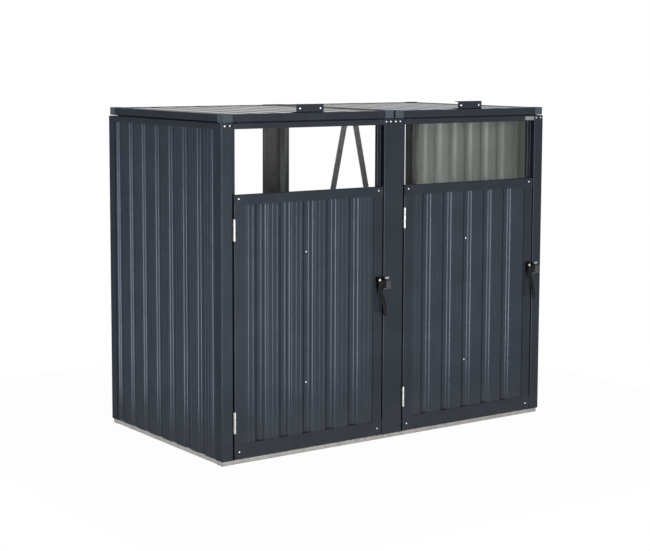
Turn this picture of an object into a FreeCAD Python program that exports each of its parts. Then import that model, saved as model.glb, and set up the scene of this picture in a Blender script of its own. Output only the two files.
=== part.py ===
import FreeCAD, Part
import math
import os
import Sketcher

# Double wheelie bin store of painted ribbed sheet steel: two bays, two doors, two lids.
# X runs from the left corner post to the right one, Y from the front to the rear, Z up.
# The origin is at ground level, in the middle of the whole outline seen from above.

DRIVING = {
    # frame
    "overall_width": 1580.0,
    "overall_depth": 864.0,
    "body_top": 1264.0,
    "corner_post_width": 48.0,
    "middle_post_width": 96.0,
    "post_side_depth": 48.0,
    "rebate_depth": 24.0,
    "hinge_side_stop": 26.0,
    "latch_side_stop": 18.0,
    "stop_lip": 12.0,
    "rear_post_depth": 36.0,
    "rear_post_flange": 19.0,
    "post_wall": 1.5,
    "bend_radius": 2.5,
    "top_rail_height": 22.0,
    "rear_rail_height": 46.0,
    "top_rail_lip": 20.0,
    "tie_width": 40.0,
    "fit_gap": 0.5,
    # base frame
    "base_height": 18.0,
    "base_flange": 40.0,
    "base_wall": 2.0,
    "base_inset": 6.0,
    "anchor_hole_radius": 5.0,
    "anchor_inset": 90.0,
    # rear braces
    "brace_width": 30.0,
    "brace_wall": 3.0,
    "brace_top_spread": 18.0,
    "brace_foot_spread": 285.0,
    # ribbed sheet
    "rib_pitch": 105.0,
    "rib_depth": 9.0,
    "rib_floor": 32.0,
    "rib_flank": 8.0,
    "groove_width": 10.0,
    "groove_depth": 1.5,
    "groove_pitch": 21.0,
    "ribbed_wall": 1.0,
    "wall_first_rib": 46.0,
    "wall_tuck": 20.0,
    # doors
    "door_setback": 1.0,
    "door_depth": 20.0,
    "door_top": 1003.0,
    "door_ground_gap": 2.0,
    "door_hinge_gap": 6.0,
    "door_latch_gap": 4.0,
    "door_top_rail": 38.0,
    "door_bottom_rail": 56.0,
    "stile_width": 45.0,
    "door_flange": 20.0,
    "door_wall": 1.5,
    "door_rib_pitch": 107.0,
    "door_rib_shift": -13.5,
    "inner_rail_height": 30.0,
    "inner_rail_depth": 6.0,
    "lower_inner_rail_height": 255.0,
    "upper_inner_rail_height": 751.0,
    # hinges
    "hinge_length": 80.0,
    "knuckle_radius": 5.5,
    "hinge_pin_radius": 2.5,
    "pin_clearance": 0.05,
    "pin_head_radius": 3.8,
    "pin_head_height": 1.5,
    "leaf_wall": 2.0,
    "door_leaf_width": 21.0,
    "lid_leaf_width": 22.0,
    "knuckle_gap": 0.5,
    "door_axis_reach": 5.0,
    "lid_axis_reach": 6.0,
    "lower_hinge": 120.0,
    "upper_hinge": 835.0,
    "lid_hinge_inset": 110.0,
    # latches
    "pivot_height": 639.0,
    "pivot_inset": 23.0,
    "pivot_radius": 4.0,
    "pivot_head_radius": 5.5,
    "pivot_head_height": 3.5,
    "latch_plate_width": 26.0,
    "latch_plate_height": 40.0,
    "latch_plate_wall": 3.0,
    "latch_tail": 26.0,
    "hub_radius": 10.0,
    "hub_height": 10.0,
    "moving_gap": 0.3,
    "nose_reach": 34.0,
    "nose_drop": 34.0,
    "nose_wall": 7.0,
    "horn_rise": 2.5,
    "horn_width": 11.0,
    "lever_length": 139.0,
    "lever_lean": 15.0,
    "lever_width": 13.0,
    "lever_flare": 4.0,
    "lever_wall": 7.0,
    "latch_reach": 32.0,
    "keeper_wall": 1.5,
    "keeper_width": 35.0,
    "keeper_height": 31.0,
    "keeper_arm": 14.0,
    "keeper_shelf": 15.0,
    "keeper_overhang": 2.0,
    "keeper_lip": 7.5,
    "horn_gap": 1.0,
    # lids
    "lid_gap": 3.0,
    "lid_height": 31.0,
    "lid_inset": 8.0,
    "lid_middle_gap": 10.0,
    "lid_flange": 18.0,
    "lid_return": 12.0,
    "lid_wall": 1.5,
    "cap_length": 40.0,
    "cap_wall": 1.5,
    "buffer_width": 10.0,
    "buffer_inset": 60.0,
    "handle_width": 123.0,
    "handle_rise": 31.5,
    "handle_foot": 36.0,
    "handle_lip": 20.0,
    "handle_wall": 3.0,
    "handle_setback": 8.0,
    # blank plate
    "plate_width": 49.0,
    "plate_height": 15.0,
    "plate_wall": 1.0,
    "plate_gap": 5.0,
}

GROOVES_PER_CREST = 3
DOOR_RIBS_BESIDE_MIDDLE = 2
LEVER_STATIONS = 6
KNUCKLE_SIDES = 12
# A bend's outside is drawn as one flat that touches the bend's arc
BEND_FLAT = 0.586


class Size:
    """A number in millimetres that remembers the sheet formula it comes from."""

    def __init__(self, value, formula):
        self.value = float(value)
        self.formula = formula

    def __add__(self, other):
        other = as_size(other)
        return Size(self.value + other.value, f"({self.formula} + {other.formula})")

    def __radd__(self, other):
        return as_size(other) + self

    def __sub__(self, other):
        other = as_size(other)
        return Size(self.value - other.value, f"({self.formula} - {other.formula})")

    def __rsub__(self, other):
        return as_size(other) - self

    def __mul__(self, other):
        other = as_size(other)
        return Size(self.value * other.value, f"{self.formula} * {other.formula}")

    def __rmul__(self, other):
        return as_size(other) * self

    def __truediv__(self, other):
        other = as_size(other)
        return Size(self.value / other.value, f"{self.formula} / {other.formula}")

    def __neg__(self):
        return Size(-self.value, f"(0 - {self.formula})")


def as_size(number):
    if isinstance(number, Size):
        return number
    return Size(number, f"({float(number):.6g})")


class Named:
    """The driving sizes, each under its own name."""


doc = FreeCAD.newDocument("BinStore")
sheet = doc.addObject("Spreadsheet::Sheet", "Sizes")
S = Named()
for row, (alias, number) in enumerate(DRIVING.items(), start=1):
    sheet.set(f"A{row}", alias)
    sheet.set(f"B{row}", str(number))
    sheet.setAlias(f"B{row}", alias)
    setattr(S, alias, Size(number, f"Sizes.{alias}"))
doc.recompute()

# Main planes, all worked out from the driving sizes
LEFT = -S.overall_width / 2
RIGHT = S.overall_width / 2
FRONT = (S.latch_reach - S.overall_depth - S.lid_axis_reach - S.knuckle_radius) / 2
REAR = FRONT + S.overall_depth
LID_BOTTOM = S.body_top + S.lid_gap
LID_TOP = LID_BOTTOM + S.lid_height
LID_RAIL_TOP = LID_TOP - S.cap_wall
DOOR_FRONT = FRONT + S.door_setback
DOOR_BOTTOM = S.base_height + S.door_ground_gap
SHEET_FRONT = DOOR_FRONT + S.door_wall + S.fit_gap
RIB_REACH = S.rib_depth + S.ribbed_wall

BAYS = {
    "left": (LEFT + S.corner_post_width, -S.middle_post_width / 2),
    "right": (S.middle_post_width / 2, RIGHT - S.corner_post_width),
}
LIDS = {
    "left": (LEFT + S.lid_inset, -S.lid_middle_gap / 2),
    "right": (S.lid_middle_gap / 2, RIGHT - S.lid_inset),
}

TOWARDS_FRONT = FreeCAD.Rotation(FreeCAD.Vector(1, 0, 0), 90)
TOWARDS_REAR = FreeCAD.Rotation(FreeCAD.Vector(1, 0, 0), -90)
ALONG_X = FreeCAD.Rotation(FreeCAD.Vector(1, 1, 1), 120)

nodes = []


def keep(label, thing):
    """Name a finished sub-part; its label names its file."""
    thing.Label = label
    nodes.append(thing)
    return thing


def bind(thing, prop, size):
    thing.setExpression(prop, as_size(size).formula)


def put(thing, x=0.0, y=0.0, z=0.0, rotation=None):
    """Place a thing at a point given by sizes."""
    point = [as_size(number) for number in (x, y, z)]
    base = FreeCAD.Vector(*[number.value for number in point])
    thing.Placement = FreeCAD.Placement(base, rotation or FreeCAD.Rotation())
    for axis, number in zip("xyz", point):
        bind(thing, f"Placement.Base.{axis}", number)


def box(name, x, y, z, length, width, height):
    block = doc.addObject("Part::Box", name)
    bind(block, "Length", length)
    bind(block, "Width", width)
    bind(block, "Height", height)
    put(block, x, y, z)
    return block


def cylinder(name, radius, height, x=0.0, y=0.0, z=0.0, rotation=None):
    rod = doc.addObject("Part::Cylinder", name)
    bind(rod, "Radius", radius)
    bind(rod, "Height", height)
    put(rod, x, y, z, rotation)
    return rod


def fuse(name, pieces):
    joined = doc.addObject("Part::MultiFuse", name)
    joined.Shapes = pieces
    joined.Refine = True
    return joined


def cut(name, base, tool):
    result = doc.addObject("Part::Cut", name)
    result.Base = base
    result.Tool = tool
    return result


def group(name, pieces):
    bundle = doc.addObject("Part::Compound", name)
    bundle.Links = pieces
    return bundle


def draw_outline(sketch, outline):
    """A closed outline whose every corner is held by two dimensions from the sheet."""
    corners = [(as_size(u), as_size(v)) for u, v in outline]
    points = [FreeCAD.Vector(u.value, v.value, 0) for u, v in corners]
    count = len(points)
    lines = [Part.LineSegment(points[i], points[(i + 1) % count]) for i in range(count)]
    sketch.addGeometry(lines, False)
    rules = [Sketcher.Constraint("Coincident", i, 2, (i + 1) % count, 1) for i in range(count)]
    for i, (u, v) in enumerate(corners):
        rules.append(Sketcher.Constraint("DistanceX", -1, 1, i, 1, u.value))
        rules.append(Sketcher.Constraint("DistanceY", -1, 1, i, 1, v.value))
    sketch.addConstraint(rules)
    for i, (u, v) in enumerate(corners):
        sketch.setExpression(f"Constraints[{count + 2 * i}]", u.formula)
        sketch.setExpression(f"Constraints[{count + 2 * i + 1}]", v.formula)
    return sketch


def sketch_outline(body, plane, outline):
    sketch = body.newObject("Sketcher::SketchObject", "Section")
    origin_plane = [part for part in body.Origin.OriginFeatures if part.Role == plane][0]
    sketch.AttachmentSupport = [(origin_plane, "")]
    sketch.MapMode = "FlatFace"
    return draw_outline(sketch, outline)


def pad_outline(name, plane, outline, length):
    """A body with one padded outline; the pad runs towards the plane's positive side."""
    body = doc.addObject("PartDesign::Body", name)
    sketch = sketch_outline(body, plane, outline)
    pad = body.newObject("PartDesign::Pad", "Pad")
    pad.Profile = sketch
    bind(pad, "Length", length)
    pad.Reversed = plane == "XZ_Plane"
    return body, pad


PAD_AXES = {"XY_Plane": (0, 1, 2), "XZ_Plane": (0, 2, 1), "YZ_Plane": (1, 2, 0)}


def edges_at(shape, plane, corners):
    """Names of the edges that run along the pad at the given section corners."""
    first, second, along = PAD_AXES[plane]
    found = []
    for number, edge in enumerate(shape.Edges, start=1):
        if len(edge.Vertexes) != 2:
            continue
        start, end = [vertex.Point for vertex in edge.Vertexes]
        if abs(start[first] - end[first]) + abs(start[second] - end[second]) > 1e-6:
            continue
        if abs(start[along] - end[along]) < 1e-6:
            continue
        if any(math.hypot(start[first] - u, start[second] - v) < 1e-4 for u, v in corners):
            found.append(f"Edge{number}")
    return found


def ease_bends(body, pad, plane, corners, radius):
    doc.recompute()
    bends = body.newObject("PartDesign::Chamfer", "Bends")
    bends.Base = (pad, edges_at(pad.Shape, plane, corners))
    bind(bends, "Size", radius * BEND_FLAT)
    body.Tip = bends


def round_corners(body, pad, plane, corners, radius):
    doc.recompute()
    fillet = body.newObject("PartDesign::Fillet", "Corners")
    fillet.Base = (pad, edges_at(pad.Shape, plane, corners))
    bind(fillet, "Radius", radius)
    body.Tip = fillet


def folded(line, wall):
    """Outline of a sheet folded square along a line, the wall on the line's left.

    Also returns the outer corners of the folds, which get the bend radius."""
    line = [(as_size(u), as_size(v)) for u, v in line]
    headings = []
    for (u0, v0), (u1, v1) in zip(line, line[1:]):
        du = u1.value - u0.value
        dv = v1.value - v0.value
        reach = math.hypot(du, dv)
        headings.append((round(du / reach), round(dv / reach)))
    inner = []
    bends = []
    for i, (u, v) in enumerate(line):
        beside = headings[max(i - 1, 0):i + 1]
        shift_u = sum(-dv for du, dv in beside)
        shift_v = sum(du for du, dv in beside)
        corner = (u + shift_u * wall, v + shift_v * wall)
        inner.append(corner)
        if len(beside) == 2:
            turn = beside[0][0] * beside[1][1] - beside[0][1] * beside[1][0]
            outer = (u, v) if turn > 0 else corner
            bends.append((outer[0].value, outer[1].value))
    return line + inner[::-1], bends


def folded_bar(name, plane, line, wall, start, length):
    """A folded sheet bar: section drawn in a plane, run from start along the third axis."""
    outline, bends = folded(line, wall)
    body, pad = pad_outline(name, plane, outline, length)
    ease_bends(body, pad, plane, bends, S.bend_radius)
    along = {"XY_Plane": "z", "XZ_Plane": "y", "YZ_Plane": "x"}[plane]
    put(body, **{along: start})
    return body


# Posts: hat sections, rebated for the doors at the front and deeper at the rear
def front_post_lines():
    stop = FRONT + S.rebate_depth
    lip = stop + S.stop_lip
    side = FRONT + S.post_side_depth
    lines = {}
    near, far = LEFT, BAYS["left"][0]
    lines["left"] = [
        (near, side), (near, FRONT), (far, FRONT), (far, stop),
        (far + S.hinge_side_stop, stop), (far + S.hinge_side_stop, lip),
    ]
    near, far = BAYS["left"][1], BAYS["right"][0]
    lines["middle"] = [
        (near - S.latch_side_stop, lip), (near - S.latch_side_stop, stop), (near, stop),
        (near, FRONT), (far, FRONT), (far, stop),
        (far + S.hinge_side_stop, stop), (far + S.hinge_side_stop, lip),
    ]
    near, far = BAYS["right"][1], RIGHT
    lines["right"] = [
        (near - S.latch_side_stop, lip), (near - S.latch_side_stop, stop), (near, stop),
        (near, FRONT), (far, FRONT), (far, side),
    ]
    return lines


def rear_post_lines():
    """The corner posts wrap the walls' ends; the flanges stand in the bays."""
    flange = REAR - S.rear_post_depth
    side = REAR - S.post_side_depth
    lines = {}
    near, far = BAYS["left"][0], BAYS["right"][1]
    lines["left"] = [
        (near + S.rear_post_flange, flange), (near, flange), (near, REAR), (LEFT, REAR),
        (LEFT, side),
    ]
    lines["right"] = [
        (RIGHT, side), (RIGHT, REAR), (far, REAR), (far, flange),
        (far - S.rear_post_flange, flange),
    ]
    near, far = BAYS["left"][1], BAYS["right"][0]
    lines["middle"] = [
        (far + S.rear_post_flange, flange), (far, flange), (far, REAR), (near, REAR),
        (near, flange), (near - S.rear_post_flange, flange),
    ]
    return lines


def make_posts():
    height = S.body_top - S.base_height
    for row, lines in (("front", front_post_lines()), ("rear", rear_post_lines())):
        for place, line in lines.items():
            post = folded_bar(f"Post{row}{place}", "XY_Plane", line, S.post_wall,
                              S.base_height, height)
            keep(f"post_{row}_{place}", post)


# Top rails: a face, a top and an inner lip, open underneath
def rail_line(face, inward, height, depth):
    """Section of a top rail from its inner lip to its outer face; inward is 1 or -1."""
    lip = face + inward * (depth - S.fit_gap)
    top = S.body_top
    line = [(lip, top - S.top_rail_lip), (lip, top), (face, top), (face, top - height)]
    return line if inward > 0 else line[::-1]


def make_top_rails():
    rows = (("front", FRONT, 1, S.top_rail_height, S.rebate_depth),
            ("rear", REAR, -1, S.rear_rail_height, S.rear_post_depth))
    for row, face, inward, height, depth in rows:
        line = rail_line(face, inward, height, depth)
        rails = []
        for side, (near, far) in BAYS.items():
            rails.append(folded_bar(f"Rail{row}{side}", "YZ_Plane", line, S.post_wall,
                                    near, far - near))
        keep(f"top_rails_{row}", group(f"TopRails{row}", rails))
    for side, face, inward in (("left", LEFT, 1), ("right", RIGHT, -1)):
        run = S.overall_depth - 2 * S.post_side_depth
        line = rail_line(face, inward, S.top_rail_height, S.rebate_depth)
        rail = folded_bar(f"SideRail{side}", "XZ_Plane", line, S.post_wall,
                          FRONT + S.post_side_depth, run)
        keep(f"top_rail_{side}", rail)
    half = S.tie_width / 2
    low = S.body_top - S.top_rail_height
    line = [(half, low), (half, S.body_top), (-half, S.body_top), (-half, low)]
    tie = folded_bar("Tie", "XZ_Plane", line, S.post_wall, FRONT + S.post_wall,
                     S.overall_depth - 2 * S.post_wall)
    keep("top_tie", tie)


# Base frame: channels with both flanges turned in, the side ones with anchor holes
def base_line(outside, inward):
    web = outside + inward * S.base_inset
    edge = web + inward * S.base_flange
    line = [(edge, S.base_height), (web, S.base_height), (web, 0.0), (edge, 0.0)]
    return line if inward > 0 else line[::-1]


def drill_anchor_holes(body, x):
    sketch = body.newObject("Sketcher::SketchObject", "AnchorHoles")
    plane = [part for part in body.Origin.OriginFeatures if part.Role == "XY_Plane"][0]
    sketch.AttachmentSupport = [(plane, "")]
    sketch.MapMode = "FlatFace"
    run = S.overall_depth - 2 * (S.base_inset + S.base_flange)
    for number, y in enumerate((S.anchor_inset, run - S.anchor_inset)):
        centre = FreeCAD.Vector(x.value, y.value, 0)
        sketch.addGeometry(Part.Circle(centre, FreeCAD.Vector(0, 0, 1), S.anchor_hole_radius.value))
        first = sketch.ConstraintCount
        sketch.addConstraint([
            Sketcher.Constraint("DistanceX", -1, 1, number, 3, x.value),
            Sketcher.Constraint("DistanceY", -1, 1, number, 3, y.value),
            Sketcher.Constraint("Radius", number, S.anchor_hole_radius.value),
        ])
        for step, size in enumerate((x, y, S.anchor_hole_radius)):
            sketch.setExpression(f"Constraints[{first + step}]", size.formula)
    pocket = body.newObject("PartDesign::Pocket", "Anchors")
    pocket.Profile = sketch
    pocket.Type = "ThroughAll"
    pocket.Reversed = True
    body.Tip = pocket


def make_base():
    width = S.overall_width - 2 * S.base_inset
    for row, outside, inward in (("front", FRONT, 1), ("rear", REAR, -1)):
        rail = folded_bar(f"Base{row}", "YZ_Plane", base_line(outside, inward), S.base_wall,
                          LEFT + S.base_inset, width)
        y = outside + inward * S.base_inset - (S.base_flange if inward < 0 else 0.0)
        ends = [box(f"BaseEnd{row}{number}", x, y, 0.0, S.base_wall, S.base_flange, S.base_height)
                for number, x in enumerate((LEFT + S.base_inset,
                                            RIGHT - S.base_inset - S.base_wall))]
        keep(f"base_rail_{row}", fuse(f"BaseRail{row}", [rail] + ends))
    band = S.base_inset + S.base_flange
    for side, outside, inward in (("left", LEFT, 1), ("right", RIGHT, -1)):
        rail = folded_bar(f"Base{side}", "XZ_Plane", base_line(outside, inward), S.base_wall,
                          FRONT + band, S.overall_depth - 2 * band)
        drill_anchor_holes(rail, outside + inward * (S.base_inset + S.base_flange / 2))
        keep(f"base_rail_{side}", rail)


# Rear braces: an inverted V of two flat bars per bay
def make_braces():
    half = S.brace_width / 2
    top = S.body_top - S.post_wall - S.fit_gap
    face = REAR - S.rear_post_depth - S.post_wall - S.brace_wall
    for side, (near, far) in BAYS.items():
        centre = (near + far) / 2
        bars = []
        for lean in (-1, 1):
            foot = centre + lean * S.brace_foot_spread
            head = centre + lean * S.brace_top_spread
            outline = [(foot - half, S.base_height), (foot + half, S.base_height),
                       (head + half, top), (head - half, top)]
            bar, pad = pad_outline(f"Brace{side}{lean + 2}", "XZ_Plane", outline, S.brace_wall)
            put(bar, y=face)
            bars.append(bar)
        keep(f"rear_braces_{side}", group(f"Braces{side}", bars))


# Ribbed sheet: wide recessed ribs at one pitch, three fine grooves on each crest between them
def sheet_profile(first, last, rib_centre, pitch, reach):
    """Depth of the sheet's outer face along it, from first to last, as (position, depth).

    Ribs stand up to reach steps from the middle one; without a reach they fill the sheet."""
    rib_half = S.rib_floor.value / 2
    rib_open = rib_half + S.rib_flank.value
    groove_half = S.groove_width.value / 2
    if reach is None:
        reach = math.ceil((last - first) / pitch)
    marks = []
    for step in range(-reach - 1, reach + 1):
        centre = rib_centre + step * pitch
        deep = S.rib_depth.value
        if step >= -reach:
            marks.append([(centre - rib_open, 0.0), (centre - rib_half, deep),
                          (centre + rib_half, deep), (centre + rib_open, 0.0)])
        for number in range(GROOVES_PER_CREST):
            shift = (number - (GROOVES_PER_CREST - 1) / 2) * S.groove_pitch.value
            middle = centre + pitch / 2 + shift
            marks.append([(middle - groove_half, 0.0), (middle, S.groove_depth.value),
                          (middle + groove_half, 0.0)])
    inside = [mark for mark in marks if mark[0][0] > first and mark[-1][0] < last]
    points = [point for mark in inside for point in mark]
    return [(first, 0.0)] + points + [(last, 0.0)]


def ribbed_sheet(name, ribs, length, inward, place, rotation, reach=None):
    """A ribbed sheet across its ribs along local X, its depth along local Y, its length Z.

    ribs holds the sheet's first and last edge, the middle rib and the pitch."""
    outer = sheet_profile(*[size.value for size in ribs], reach)
    wall = S.ribbed_wall.value
    near = [FreeCAD.Vector(u, inward * depth, 0) for u, depth in outer]
    far = [FreeCAD.Vector(u, inward * (depth + wall), 0) for u, depth in outer]
    face = Part.Face(Part.makePolygon(near + far[::-1] + near[:1]))
    panel = doc.addObject("Part::Feature", name)
    panel.Shape = face.extrude(FreeCAD.Vector(0, 0, length.value))
    put(panel, *place, rotation)
    return panel


def make_walls():
    top = S.body_top - S.post_wall - S.fit_gap
    tuck = S.post_wall + S.fit_gap
    first = FRONT + S.wall_tuck
    last = REAR - S.wall_tuck
    turned = FreeCAD.Rotation(FreeCAD.Vector(0, 0, 1), 90)
    for side, x, inward in (("left", LEFT + tuck, -1), ("right", RIGHT - tuck, 1)):
        ribs = (first, last, FRONT + S.wall_first_rib, S.rib_pitch)
        panel = ribbed_sheet(f"Wall{side}", ribs, top - S.base_height, inward,
                             (x, 0.0, S.base_height), turned)
        keep(f"wall_{side}", panel)


# Hinges: the headed pin is one with the fixed leaf, the moving knuckle turns on it
def knuckle_spans():
    """Lower and upper ends of the outer knuckles and of the middle one."""
    third = S.hinge_length / 3
    gap = S.knuckle_gap / 2
    outer = [(as_size(0.0), third - gap), (third * 2 + gap, S.hinge_length)]
    middle = [(third + gap, third * 2 - gap)]
    return outer, middle


def prism(name, radius, height, z=0.0):
    rod = doc.addObject("Part::Prism", name)
    rod.Polygon = KNUCKLE_SIDES
    bind(rod, "Circumradius", radius)
    bind(rod, "Height", height)
    put(rod, z=z)
    return rod


def hinge_leaf(name, plate_offset, side, width, spans, place, rotation=None, pin=False):
    """One leaf about a local Z axis: its plate stands beside the axis, to one side of it."""
    clear = S.knuckle_radius + S.knuckle_gap
    plate_start = clear if side > 0 else -width
    pieces = [box(f"{name}Plate", plate_offset, plate_start, 0.0,
                  S.leaf_wall, width - clear, S.hinge_length)]
    for number, (low, high) in enumerate(spans):
        tab_start = as_size(0.0) if side > 0 else -clear
        pieces.append(box(f"{name}Tab{number}", plate_offset, tab_start, low,
                          S.leaf_wall, clear, high - low))
        pieces.append(prism(f"{name}Knuckle{number}", S.knuckle_radius, high - low, low))
    if pin:
        low, high = spans[0][1], spans[1][0]
        pieces.append(cylinder(f"{name}Pin", S.hinge_pin_radius, high - low, z=low))
        pieces.append(prism(f"{name}Head", S.pin_head_radius, S.pin_head_height, S.hinge_length))
        leaf = fuse(f"{name}Leaf", pieces)
    else:
        bore = cylinder(f"{name}Bore", S.hinge_pin_radius + S.pin_clearance, S.hinge_length)
        leaf = cut(f"{name}Leaf", fuse(f"{name}Solid", pieces), bore)
    put(leaf, *place, rotation)
    return leaf


def make_hinges():
    outer, middle = knuckle_spans()
    fixed_door = []
    fixed_lid = []
    half_gap = (S.door_hinge_gap - 2 * S.leaf_wall) / 2
    for side, (near, far) in BAYS.items():
        moving = []
        for row, low in (("Lower", S.lower_hinge), ("Upper", S.upper_hinge)):
            place = (near + S.door_hinge_gap / 2, FRONT - S.door_axis_reach, low)
            fixed_door.append(hinge_leaf(f"DoorFixed{side}{row}", -half_gap - S.leaf_wall, 1,
                                         S.door_leaf_width, outer, place, pin=True))
            moving.append(hinge_leaf(f"DoorMoving{side}{row}", half_gap, 1,
                                     S.door_leaf_width, middle, place))
        keep(f"door_hinge_leaves_{side}", group(f"DoorLeaves{side}", moving))
    for side, (near, far) in LIDS.items():
        moving = []
        ends = (near + S.lid_hinge_inset, far - S.lid_hinge_inset - S.hinge_length)
        for number, x in enumerate(ends):
            place = (x, REAR + S.lid_axis_reach, S.body_top + S.lid_gap / 2)
            offset = -S.lid_axis_reach
            fixed_lid.append(hinge_leaf(f"LidFixed{side}{number}", offset, -1,
                                        S.lid_leaf_width, outer, place, ALONG_X, True))
            moving.append(hinge_leaf(f"LidMoving{side}{number}", offset, 1,
                                     S.lid_leaf_width, middle, place, ALONG_X))
        keep(f"lid_hinge_leaves_{side}", group(f"LidLeaves{side}", moving))
    keep("door_hinge_leaves_fixed", group("DoorLeavesFixed", fixed_door))
    keep("lid_hinge_leaves_fixed", group("LidLeavesFixed", fixed_lid))


# Doors: a flush frame of folded rails and stiles round a ribbed sheet
def make_door(side, near, far):
    left = near + S.door_hinge_gap
    right = far - S.door_latch_gap
    width = right - left
    front = DOOR_FRONT
    back = front + S.door_depth
    top = S.door_top
    bottom = DOOR_BOTTOM
    flange = S.door_flange

    line = [(back, top - flange), (back, top), (front, top), (front, top - S.door_top_rail)]
    rail = folded_bar(f"DoorTop{side}", "YZ_Plane", line, S.door_wall, left, width)
    keep(f"door_rail_top_{side}", rail)
    line = [(front, bottom + S.door_bottom_rail), (front, bottom), (back, bottom),
            (back, bottom + flange)]
    rail = folded_bar(f"DoorBottom{side}", "YZ_Plane", line, S.door_wall, left, width)
    keep(f"door_rail_bottom_{side}", rail)

    low = bottom + S.door_bottom_rail
    run = top - S.door_top_rail - low
    line = [(left + flange, back), (left, back), (left, front), (left + S.stile_width, front)]
    hinge_stile = folded_bar(f"HingeStile{side}", "XY_Plane", line, S.door_wall, low, run)
    line = [(right - S.stile_width, front), (right, front), (right, back), (right - flange, back)]
    latch_stile = folded_bar(f"LatchStile{side}", "XY_Plane", line, S.door_wall, low, run)
    keep(f"door_stiles_{side}", group(f"Stiles{side}", [hinge_stile, latch_stile]))

    hem = S.door_wall + S.fit_gap
    rib_centre = (left + right) / 2 + S.door_rib_shift
    ribs = (left + hem, right - hem, rib_centre, S.door_rib_pitch)
    panel = ribbed_sheet(f"DoorSheet{side}", ribs, top - bottom - 2 * hem, 1,
                         (0.0, SHEET_FRONT, bottom + hem), None, DOOR_RIBS_BESIDE_MIDDLE)
    keep(f"door_sheet_{side}", panel)

    face = SHEET_FRONT + RIB_REACH
    bars = []
    heights = (S.lower_inner_rail_height, S.upper_inner_rail_height)
    for number, height in enumerate(heights):
        over = height + S.inner_rail_height
        line = [(face + S.inner_rail_depth, over), (face, over), (face, height),
                (face + S.inner_rail_depth, height)]
        bars.append(folded_bar(f"InnerRail{side}{number}", "YZ_Plane", line, S.door_wall,
                               left + S.door_wall, width - 2 * S.door_wall))
    keep(f"door_inner_rails_{side}", group(f"InnerRails{side}", bars))


# Latches: base plate and pivot on the door, lever on the pivot, keeper on the post
def make_latch(side, far):
    pivot_x = far - S.door_latch_gap - S.pivot_inset
    pivot_z = S.pivot_height
    plate_front = DOOR_FRONT - S.latch_plate_wall

    edge = S.latch_plate_width / 3
    drop = S.latch_plate_height * 2 / 3
    high = pivot_z + S.latch_plate_height - drop
    low = pivot_z - drop
    x_left = pivot_x - edge
    x_right = x_left + S.latch_plate_width
    tail_width = edge + S.pivot_radius / 2
    outline = [(x_left, high), (x_left, low), (x_left + tail_width / 2, low - S.latch_tail),
               (x_left + tail_width, low), (x_right, low), (x_right, high)]
    plate, pad = pad_outline(f"LatchPlate{side}", "XZ_Plane", outline, S.latch_plate_wall)
    corners = [(x_left.value, high.value), (x_right.value, high.value),
               (x_right.value, low.value)]
    round_corners(plate, pad, "XZ_Plane", corners, S.pivot_radius)
    put(plate, y=plate_front)
    keep(f"latch_base_{side}", plate)

    hub_back = S.moving_gap
    head_back = hub_back + S.hub_height + S.moving_gap
    head_front = head_back + S.pivot_head_height
    body = doc.addObject("PartDesign::Body", f"Pivot{side}")
    outline = [(0.0, 0.0), (S.pivot_radius, 0.0), (S.pivot_radius, head_back),
               (S.pivot_head_radius, head_back), (S.pivot_head_radius, head_front),
               (0.0, head_front)]
    sketch = sketch_outline(body, "XZ_Plane", outline)
    turn = body.newObject("PartDesign::Revolution", "Turned")
    turn.Profile = sketch
    turn.ReferenceAxis = (sketch, ["V_Axis"])
    turn.Angle = 360
    put(body, pivot_x, plate_front, pivot_z, TOWARDS_FRONT)
    keep(f"latch_pivot_{side}", body)

    make_lever(side, pivot_x, plate_front - hub_back, pivot_z)
    return make_keeper(side, far, pivot_z)


def make_lever(side, pivot_x, back, pivot_z):
    """Hub, nose with its horn, and a long handle that bows away from the door."""
    hub = cylinder(f"Hub{side}", S.hub_radius, S.hub_height, pivot_x, back, pivot_z,
                   TOWARDS_FRONT)
    tip = pivot_x + S.nose_reach
    horn = tip - S.horn_width
    shoulder = S.horn_rise * 2
    outline = [(pivot_x, pivot_z + S.hub_radius / 2), (horn, pivot_z - shoulder),
               (horn, pivot_z + S.horn_rise), (tip, pivot_z + S.horn_rise),
               (tip, pivot_z - S.nose_drop), (tip - S.nose_reach / 2, pivot_z - S.nose_drop),
               (pivot_x, pivot_z - S.hub_radius / 2)]
    nose, pad = pad_outline(f"Nose{side}", "XZ_Plane", outline, S.nose_wall)
    put(nose, y=back - S.hub_height)
    front = FRONT - S.latch_reach
    start = back - S.hub_height / 2
    thick = S.lever_wall / 2
    sections = []
    for number in range(LEVER_STATIONS):
        share = number / (LEVER_STATIONS - 1)
        bow = math.sin(share * math.pi / 2)
        wide = S.lever_width / 2 + S.lever_flare / 2 * share
        flat = wide * 3 / 4
        section = doc.addObject("Sketcher::SketchObject", f"Section{side}{number}")
        draw_outline(section, [(wide, -thick / 2), (wide, thick / 2), (flat, thick),
                               (-flat, thick), (-wide, thick / 2), (-wide, -thick / 2),
                               (-flat, -thick), (flat, -thick)])
        put(section, pivot_x + S.lever_lean * bow ** 2,
            start + (front + thick - start) * bow, pivot_z - S.lever_length * share)
        sections.append(section)
    handle = doc.addObject("Part::Loft", f"Handle{side}")
    handle.Sections = sections
    handle.Solid = True
    handle.Ruled = True
    doc.recompute()
    bore = cylinder(f"LeverBore{side}", S.pivot_radius + S.pin_clearance, S.hub_height * 2,
                    pivot_x, back + S.hub_height / 2, pivot_z, TOWARDS_FRONT)
    whole = fuse(f"LeverSolid{side}", [hub, nose, handle])
    keep(f"latch_lever_{side}", cut(f"Lever{side}", whole, bore))


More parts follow.
